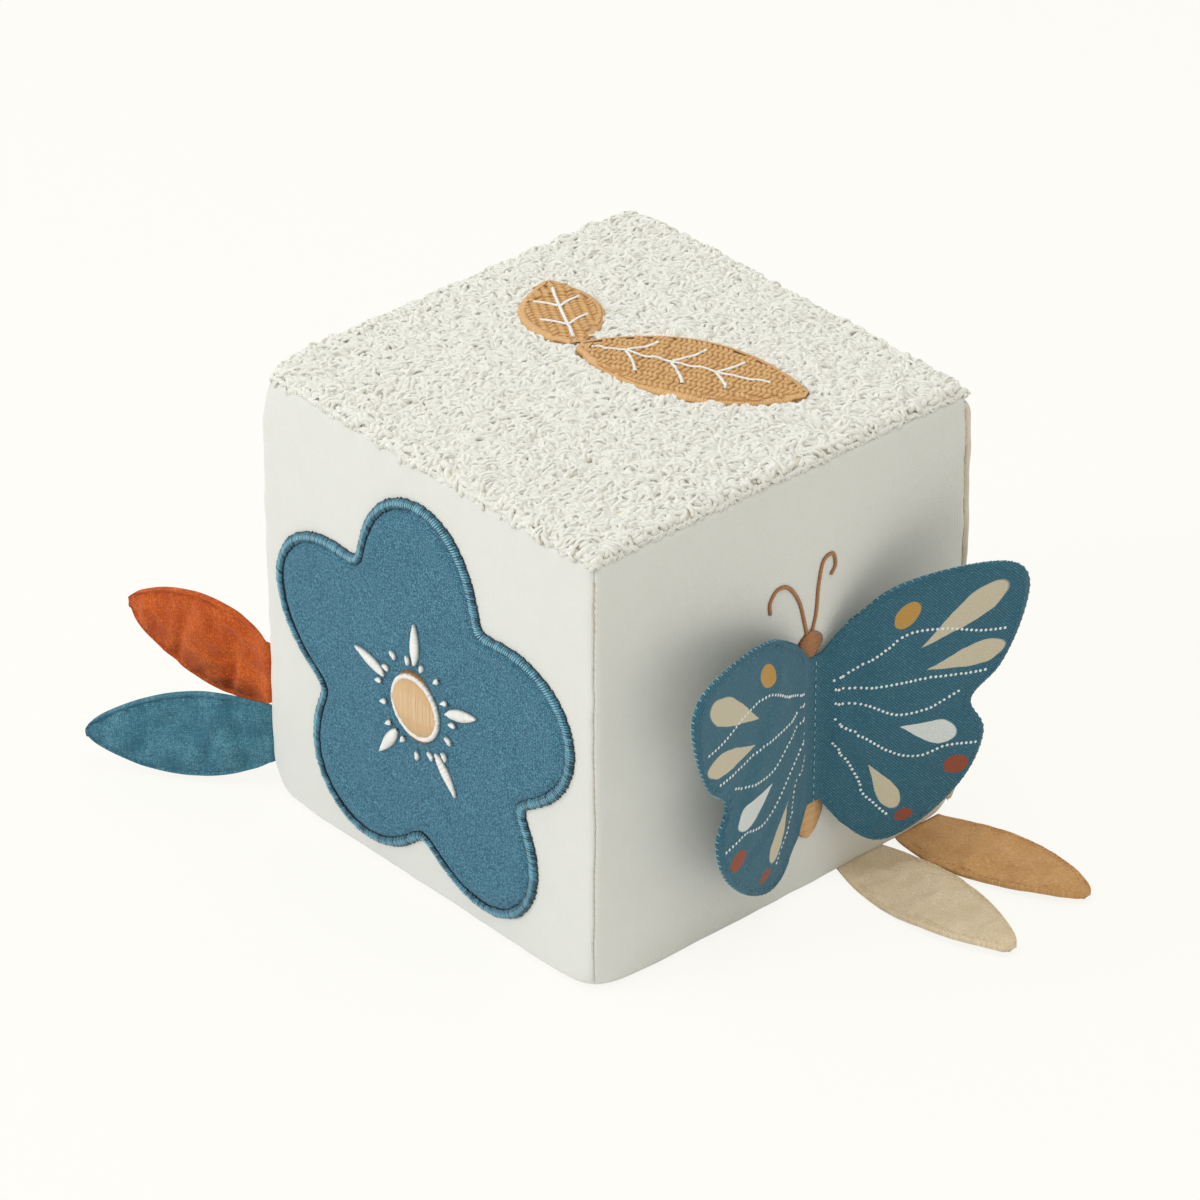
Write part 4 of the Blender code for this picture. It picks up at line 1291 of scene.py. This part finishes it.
centre = Vector((0.5 * WING_SPAN, 0.5 * WING_HEIGHT))
for name in WINGS:
    for k, vein in enumerate(VEINS):
        path = smooth_path(vein, 12)
        wing_stitches(f"{name}_wing_dots_{k + 1}", name, path, 1.6 * MM, DOT_SIZE, threads["white_ink"])
    margin = [margin_point(0.02 + 0.96 * i / 300) for i in range(301)]
    inset = [m + (centre - m).normalized() * TOPSTITCH_IN for m in margin]
    wing_stitches(f"{name}_wing_topstitch", name, inset, 2.9 * MM, TOPSTITCH_SIZE, threads["deep_blue"])

    overcast = []
    for spot, direction in along_path(margin, 2.3 * MM):
        if spot.x < SEWN_DOWN:
            continue
        outward = Vector((-direction.y, direction.x))
        outward *= math.copysign(1, outward.dot(spot - centre))
        rim = wing_place(name, spot, 0)
        way = wing_place(name, spot, MM) - wing_place(name, spot, -MM)
        way += (wing_place(name, spot + direction * MM, 0) - rim) * 0.8
        beyond = wing_place(name, spot + outward * MM, 0) - rim
        overcast.append(placed(rim + beyond * 0.05, way, beyond, OVERCAST_SIZE))
    copies(f"{name}_wing_overcast", ROUND, overcast, threads["pale_blue"], f"{name}_wing")

# %% [markdown]
# ## The body of the butterfly
# Its head, its body and its feelers are satin-stitched straight on the panel in tan and brown thread, and
# the wings are sewn down over the body along one seam.

# %% Head, body, feelers and the seam between the wings
FEELERS = (
    ((8.5, 93), (10.5, 100), (11.5, 109), (13.5, 116.5), (17.3, 117.5), (18.3, 113.5), (16.5, 110.8)),
    ((7.0, 93), (5.5, 100), (3.5, 107), (-0.5, 113), (-5, 114.2), (-8, 111), (-7.9, 107.2)),
)
FEELER_HALF = 0.55 * MM
SEAM_LEVEL = 79.4 * MM
SEAM_STITCHES = 19


def on_right(point):
    """The place just over the right panel of a (y, z) point, and the way out from it."""
    return on_cover(HALF + 0.1 * MM, point.x, point.y), Vector((1, 0, 0))


body = lens_pairs(on_right, Vector((9.2, 31)) * MM, math.pi / 2, 19 * MM, 10.5 * MM, point=0.45)
head = lens_pairs(on_right, Vector((7.9, 90.4)) * MM, math.pi / 2, 9 * MM, 9 * MM)
satin("butterfly_body_threads", body, 1.0 * MM, threads["tan"])
satin("butterfly_head_threads", head, 1.0 * MM, threads["brown"])

feeler_pairs = []
for corners in FEELERS:
    for spot, direction in along_path(smooth_path(corners, 10), 0.36 * MM):
        across = Vector((-direction.y, direction.x)) * FEELER_HALF
        feeler_pairs.append(pair_on(on_right, spot - across, spot + across))
satin("butterfly_feeler_threads", feeler_pairs, 0.5 * MM, threads["brown"])

seam_places = []
for i in range(SEAM_STITCHES):
    at = Vector((SEAM_LEVEL, ROOT_Y, (35.5 + 2.7 * i) * MM))
    seam_places.append(placed(at, UP, Vector((1, 0, 0)), (0.9 * MM, 0.26 * MM, 0.25 * MM)))
wing_seam = copies("wing_seam_stitches", STITCH, seam_places, threads["pale_blue"])
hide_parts("wing_stitch_strip")

# %% [markdown]
# ## The closing seam
# The cover is filled through one corner seam, which is then sewn shut from outside. So that seam stands
# up as a thin wavy lip, with the sewing thread showing on it, while the machine-sewn seams lie in a
# groove. The stitches of the machine show a little in the groove of the front corner, most at its top.

# %% The lip and its stitches
LIP_LOW = 3.5 * MM
LIP_LENGTH = TOP - 7 * MM
LIP_HIGH = LIP_LOW + LIP_LENGTH
LIP_OUT = 1.5 * MM
LIP_IN = 1.2 * MM
LIP_HALF = 0.75 * MM
LIP_WAVE_LENGTH = 7 * MM
LIP_WAVE = 0.6 * MM
LIP_SWAY = 2.2 * MM
LIP_TAPER = 4 * MM
CLOSING_PITCH = 3.2 * MM
GROOVE_STITCHES = 52
CORNER_REACH = FLAT_REACH + EDGE_ROUND * math.sin(math.pi / 4)
DIAGONAL = Vector((1, 1, 0)).normalized()
LIP_ACROSS = DIAGONAL.cross(UP)


def lip_place(u, v, side):
    """A point of the lip: u runs up the corner, and v from inside the seam out to the lip's edge."""
    height = LIP_LOW + LIP_LENGTH * (u + 1) / 2
    wave = Vector((0, 0, height / LIP_WAVE_LENGTH))
    tucked = min(1.0, (LIP_HIGH - height + 0.1 * MM) / LIP_TAPER) ** 0.5
    out = -LIP_IN + (LIP_OUT * tucked + LIP_WAVE * noise.noise(wave * 0.6) + LIP_IN) * (v + 1) / 2
    sway = LIP_SWAY * noise.noise(wave * 0.35 + UP * 9) * (v + 1) / 2
    thick = LIP_HALF * math.sqrt(max(0.0, 1.02 - max(0.0, v) ** 2))
    return on_cover(CORNER_REACH, CORNER_REACH, height) + DIAGONAL * out + LIP_ACROSS * (sway + side * thick)


def lip_flat(u, v):
    return (u * LIP_LENGTH / 2, v * (LIP_OUT + LIP_IN) / 2)


lip = pad("closing_seam_lip", 150, 8, lip_flat, lip_place, seam_cotton)
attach(lip, "block")

closing = []
for k in range(int(LIP_LENGTH / CLOSING_PITCH)):
    u = -1 + 2 * (k + 0.5) * CLOSING_PITCH / LIP_LENGTH
    for side in (-1, 1):
        size = (0.56 * CLOSING_PITCH, 0.24 * MM, 0.24 * MM)
        closing.append(placed(lip_place(u, -0.05, side * 1.15), UP, LIP_ACROSS * side, size))
for k in range(GROOVE_STITCHES):
    corner = on_cover(CORNER_REACH, -CORNER_REACH, TOP - (6.5 + 2.6 * k) * MM)
    size = Vector((0.75, 0.2, 0.2)) * MM * (1 if k < 7 else 0.75)
    closing.append(placed(corner, UP, Vector((1, -1, 0)).normalized(), size))
copies("closing_stitches", ROUND, closing, threads["natural"])

# %% [markdown]
# ## The leaf tags
# Each tag is two leaves of cotton sewn round, turned and pressed, so its rim is thin and firm and its
# middle a little full, with soft creases from handling. It goes into the seam of the block as a flat
# root.

# %% Where the tags are
LEAF_LENGTHS = {"blue": 58.8 * MM, "rust": 56.7 * MM, "tan": 62 * MM, "cream": 66 * MM}
LEAF_WIDTHS = {"blue": 30.6 * MM, "rust": 32 * MM, "tan": 28 * MM, "cream": 28 * MM}
ROOT_SHARE = 0.71
LEAF_ARCH = 2.2 * MM
ROOT_IN = 2.2 * MM
TIP_TURN = 0.968
TIP_ROUND = 1.25 * MM
BROAD_CREASE = 1.5 * MM
FINE_CREASE = 0.5 * MM
ROOT_CREASE = 1.8 * MM
FOLD_WIDTH = 2.2 * MM


def heading(degrees):
    return toward(math.radians(degrees)).to_3d()


# Each tag has its way out, its normal, its way along the seam, its lean in degrees, the way of its root,
# its cloth and its slot.
TAGS = {
    "blue": (heading(211), heading(301), UP, -7, heading(225), washed_blue_cotton, "blue_cotton"),
    "rust": (heading(189), heading(279), UP, 4.1, heading(225), rust_cotton, "rust_cotton"),
    "tan": (heading(0), UP, heading(270), -10, heading(0), tan_cotton, "tan_cotton"),
    "cream": (heading(0), UP, heading(270), 1, heading(0), cream_cotton, "cream_cotton"),
}
TAG_THREADS = {"blue": "blue", "rust": "rust", "tan": "brown", "cream": "natural"}
TAG_SHIFTS = {"blue": (1.6, 2.0), "rust": (-2.8, -1.8), "tan": (0.8, 0), "cream": (0, 0)}
SHIFT_LENGTH = 4 * MM
TAG_FOLDS = {
    "blue": ((5.5, 0.2, 1.6), (22, -0.4, 0.8)),
    "rust": ((15.6, -0.1, 1.8), (38.6, -0.32, 2.0)),
    "tan": ((16, 0.6, 0.8), (38, -0.5, 0.7)),
    "cream": ((12, -0.7, 1.1), (33, -0.4, 1.0)),
}


def leaf_edge(name, share):
    """Half the width of a tag at a share of its length, which is below 0 inside the seam."""
    return leaf_half_width(min(1.0, share), LEAF_WIDTHS[name], ROOT_SHARE, TIP_TURN)


def tag_flat(name, u, v):
    """The flat (out, along) of a tag's cloth, from its seam to its tip, with its rows closest at the rims."""
    out = -ROOT_IN + (LEAF_LENGTHS[name] + ROOT_IN) * (u + 1) / 2
    share = out / LEAF_LENGTHS[name]
    across = math.sin(math.pi / 2 * v)
    rounded = TIP_ROUND * max(0.0, share) ** 10 * across**2
    return (out - rounded, across * leaf_edge(name, share))


def tag_crease(name, out, along, seed):
    """How far handling has pushed a point of a tag out of its plane: soft creases of three sizes, and folds.

    Each fold is given as how far out it starts, in mm, its slant and its depth in mm. It is deepest near the
    tag's lower rim. The seam keeps both rims from creasing much.
    """
    share = max(0.0, out / LEAF_LENGTHS[name])
    crease = BROAD_CREASE * noise.noise(Vector((out / (11 * MM), (along + out * 0.4) / (14 * MM), seed)))
    crease += FINE_CREASE * noise.noise(Vector((out / (4 * MM), along / (4 * MM), seed)))
    at_root = noise.noise(Vector((share * 2, along / (5 * MM), seed + 5)))
    crease += ROOT_CREASE * at_root * math.exp(-share / 0.25)
    aside = along / leaf_edge(name, share)
    for start, slant, depth in TAG_FOLDS[name]:
        from_fold = out - start * MM - slant * (along + LEAF_WIDTHS[name] / 2)
        crease -= depth * MM * (0.75 - aside / 2) * swell_at(from_fold, 0, FOLD_WIDTH)
    return crease * min(1.0, share * 8) * (1 - 0.85 * min(1.0, abs(aside)) ** 4)


def tag_place(name, flat, lift):
    """A point of a tag, lifted off its middle, which hangs in a low arch.

    The shifts say how far along its seam a tag is sewn, and how far it stands off, in mm, so that it passes
    in front of its neighbour and not through it.
    """
    out_way, normal, seam_way, lean, root_way, _, _ = TAGS[name]
    hinge = hinges[f"{name}_leaf_bend"]
    out, along = flat
    lean = math.radians(lean)
    shift, stand_off = (value * MM for value in TAG_SHIFTS[name])
    if out < 0:
        return hinge + root_way * out + seam_way * (along + shift) + normal * lift
    arch = LEAF_ARCH * math.sin(math.pi * out / LEAF_LENGTHS[name] / 2) ** 2
    rise = arch + lift + tag_crease(name, out, along, hinge.z * 900 + hinge.y * 300)
    rise += stand_off * (1 - math.exp(-out / SHIFT_LENGTH))
    sideways = along + shift + out * math.sin(lean)
    return hinge + out_way * out * math.cos(lean) + seam_way * sideways + normal * rise


# %% The four tags
TABLE_GAP = 0.1 * MM
TAG_RIM_HALF = 0.4 * MM
TAG_ROLL = 0.7 * MM
TAG_SEAM_IN = 1.6 * MM
TAG_PUFF = 1.0 * MM
TAG_STITCH = (0.62 * MM, 0.13 * MM, 0.08 * MM)
ROOT_THINNESS = 14 * MM
FIRST_STITCH = 8 * MM
for name, (out_way, _, _, _, root_way, material, slot) in TAGS.items():

    def cut(u, v):
        return tag_flat(name, u, v)

    def place(u, v, side):
        out, along = cut(u, v)
        share = max(0.0, out / LEAF_LENGTHS[name])
        to_rim = min(leaf_edge(name, share) - abs(along), LEAF_LENGTHS[name] - out)
        full = min(1.0, max(0.0, out) / ROOT_THINNESS)
        rolled = TAG_ROLL * swell_at(to_rim, 0.55 * MM, 0.45 * MM)
        puff = TAG_PUFF * (1 - math.exp(-max(0.0, to_rim - TAG_SEAM_IN) / (2 * MM)))
        return tag_place(name, (out, along), side * (TAG_RIM_HALF + (rolled + puff) * full))

    def held(u, v):
        out, along = cut(u, v)
        return out < 5 * MM or leaf_edge(name, out / LEAF_LENGTHS[name]) - abs(along) < 1.1 * TAG_SEAM_IN

    tag = settled(pad(f"{name}_leaf_tag", 60, 40, cut, place, material, held), 0.25, 0.04, 0.8 * MM)
    for vertex in tag.data.vertices:
        vertex.co.z = max(vertex.co.z, TABLE_GAP)
    tag_tree = surface_tree(tag)
    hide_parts(f"{name}_leaf_front", f"{name}_leaf_back", f"{name}_leaf_tab")
    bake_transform(tag)

    seam = []
    for across in (-1, 1):
        edge = [Vector(cut(-0.85 + 1.75 * i / 80, across)) for i in range(81)]
        for spot, direction in along_path(edge, 2.0 * MM):
            if spot.x < FIRST_STITCH:
                continue
            inset = spot - Vector((0, across * TAG_SEAM_IN))
            way = tag_place(name, inset + direction * MM, 0) - tag_place(name, inset, 0)
            for face in (-1, 1):
                at, out_of, _, _ = tag_tree.find_nearest(tag_place(name, inset, face * 2 * MM))
                seam.append(placed(at, way, out_of, TAG_STITCH))
    copies(f"{name}_leaf_stitches", ROUND, seam, threads[TAG_THREADS[name]], f"{name}_leaf")

# %% [markdown]
# ## The rattle and the crinkle film
# The capsule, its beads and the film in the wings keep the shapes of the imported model, because they are
# right as they are. They only get their real materials: milky polypropylene, dyed beads, and a thin
# wrinkled film.

# %% Materials of the hidden pieces


def plastic(name, light, dark, roughness, grain):
    """Moulded plastic: almost one colour, with a fine grain that breaks the shine."""
    material, tree, shader = new_material(name, roughness)
    place = object_place(tree)
    colour = mixed(tree, grain_of(tree, place, 4 * MM, 3), dark, light)
    dress(tree, shader, colour, grain_of(tree, place, grain), 0.3, grain / 4)
    return material


def repaint(names, material):
    for node in names:
        materials = frame["nodes"][node].data.materials
        materials.clear()
        materials.append(material)


beads = [f"rattle_bead_{i + 1}" for i in range(3)]
films = [f"{name}_wing_crinkle_film" for name in WINGS]
repaint(("rattle_cup", "rattle_lid"), plastic("milky_polypropylene", "#E6EAEC", "#D3DADD", 0.4, 0.4 * MM))
repaint(beads, plastic("dyed_rattle_beads", "#CF6042", "#B84C31", 0.35, 0.3 * MM))
repaint(films, plastic("crinkle_film", "#EDF0F1", "#D9DFE1", 0.25, 1.5 * MM))

# %% [markdown]
# ## Floor, light and camera
# The photograph is taken in a light tent: one broad light from the upper left and front, a second broad
# light from above, and a near-white floor that almost hides the shadow. The camera is a long lens, fitted
# to the corners of the block in the picture.

# %% Floor and background
scene = bpy.context.scene
BACKGROUND = "#FFFEF8"


def studio_floor():
    """A pale plain floor that keeps the object's shadow, but is otherwise lit as the background is."""
    material, tree, shader = new_material("pale_studio_floor", 0.9)
    tree.nodes.remove(shader)
    diffuse = add(tree, "ShaderNodeBsdfDiffuse", {"Color": linear("#FFFFFF")})
    glow = add(tree, "ShaderNodeEmission", {"Color": linear(BACKGROUND), "Strength": 1.0})
    ray = add(tree, "ShaderNodeLightPath").outputs["Is Camera Ray"]
    share = math_of(tree, "MULTIPLY", ray, 0.88)
    both = add(tree, "ShaderNodeMixShader", {0: share, 1: diffuse.outputs[0], 2: glow.outputs[0]})
    output = next(node for node in tree.nodes if node.type == "OUTPUT_MATERIAL")
    tree.links.new(both.outputs[0], output.inputs["Surface"])
    return material


bm = bmesh.new()
bmesh.ops.create_grid(bm, x_segments=1, y_segments=1, size=4)
floor = finished("studio_floor", bm, studio_floor(), smooth=False)
floor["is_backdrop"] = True

world = bpy.data.worlds.new("light_tent")
world.use_nodes = True
scene.world = world
sky = world.node_tree
sky.nodes.clear()
paths = add(sky, "ShaderNodeLightPath")
seen = math_of(sky, "MAXIMUM", paths.outputs["Is Camera Ray"], paths.outputs["Is Glossy Ray"])
seen = math_of(sky, "MAXIMUM", seen, paths.outputs["Is Transmission Ray"])
tent = add(sky, "ShaderNodeBackground", {"Color": linear("#FBFAEF"), "Strength": 0.54})
plain = add(sky, "ShaderNodeBackground", {"Color": linear(BACKGROUND), "Strength": 1.0})
both = add(sky, "ShaderNodeMixShader", {0: seen, 1: tent.outputs[0], 2: plain.outputs[0]})
add(sky, "ShaderNodeOutputWorld", {"Surface": both.outputs[0]})

# %% Lights
LIGHT_AIM = (0, 0, 0.07)


def turned_to(holder, place, aim):
    """Puts a light or a camera at a place, and turns it to its aim."""
    holder.location = place
    holder.rotation_euler = (Vector(aim) - Vector(place)).to_track_quat("-Z", "Y").to_euler()


def soft_light(name, place, size, watts, colour):
    """A square softbox at a place, turned to the block."""
    lamp = bpy.data.lights.new(name, "AREA")
    lamp.shape = "SQUARE"
    lamp.size = size
    lamp.energy = watts
    lamp.color = linear(colour)[:3]
    turned_to(linked(name, lamp), place, LIGHT_AIM)


soft_light("key_softbox", (-0.9, -1.7, 1.3), 1.1, 17.5, "#F8FBFF")
soft_light("top_softbox", (0.35, -0.15, 2.1), 1.4, 14, "#FFFEFA")

# %% Camera
EYE = (1.23591, -1.10967, 1.11368)
AIM = (-0.00198, -0.00373, 0.07339)
lens = bpy.data.cameras.new("product_camera")
lens.lens = 194.27
lens.sensor_width = 36
lens.dof.use_dof = False
camera = linked("product_camera", lens)
turned_to(camera, EYE, AIM)
scene.camera = camera
scene.view_settings.view_transform = "Standard"

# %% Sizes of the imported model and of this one
low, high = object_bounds()
sizes = {"cad": [list(cad_low), list(cad_high)], "visual": [list(low), list(high)]}
for axis, letter in enumerate("XYZ"):
    print(letter, [round(end[axis] / MM, 1) for end in (cad_low, low, high, cad_high)])
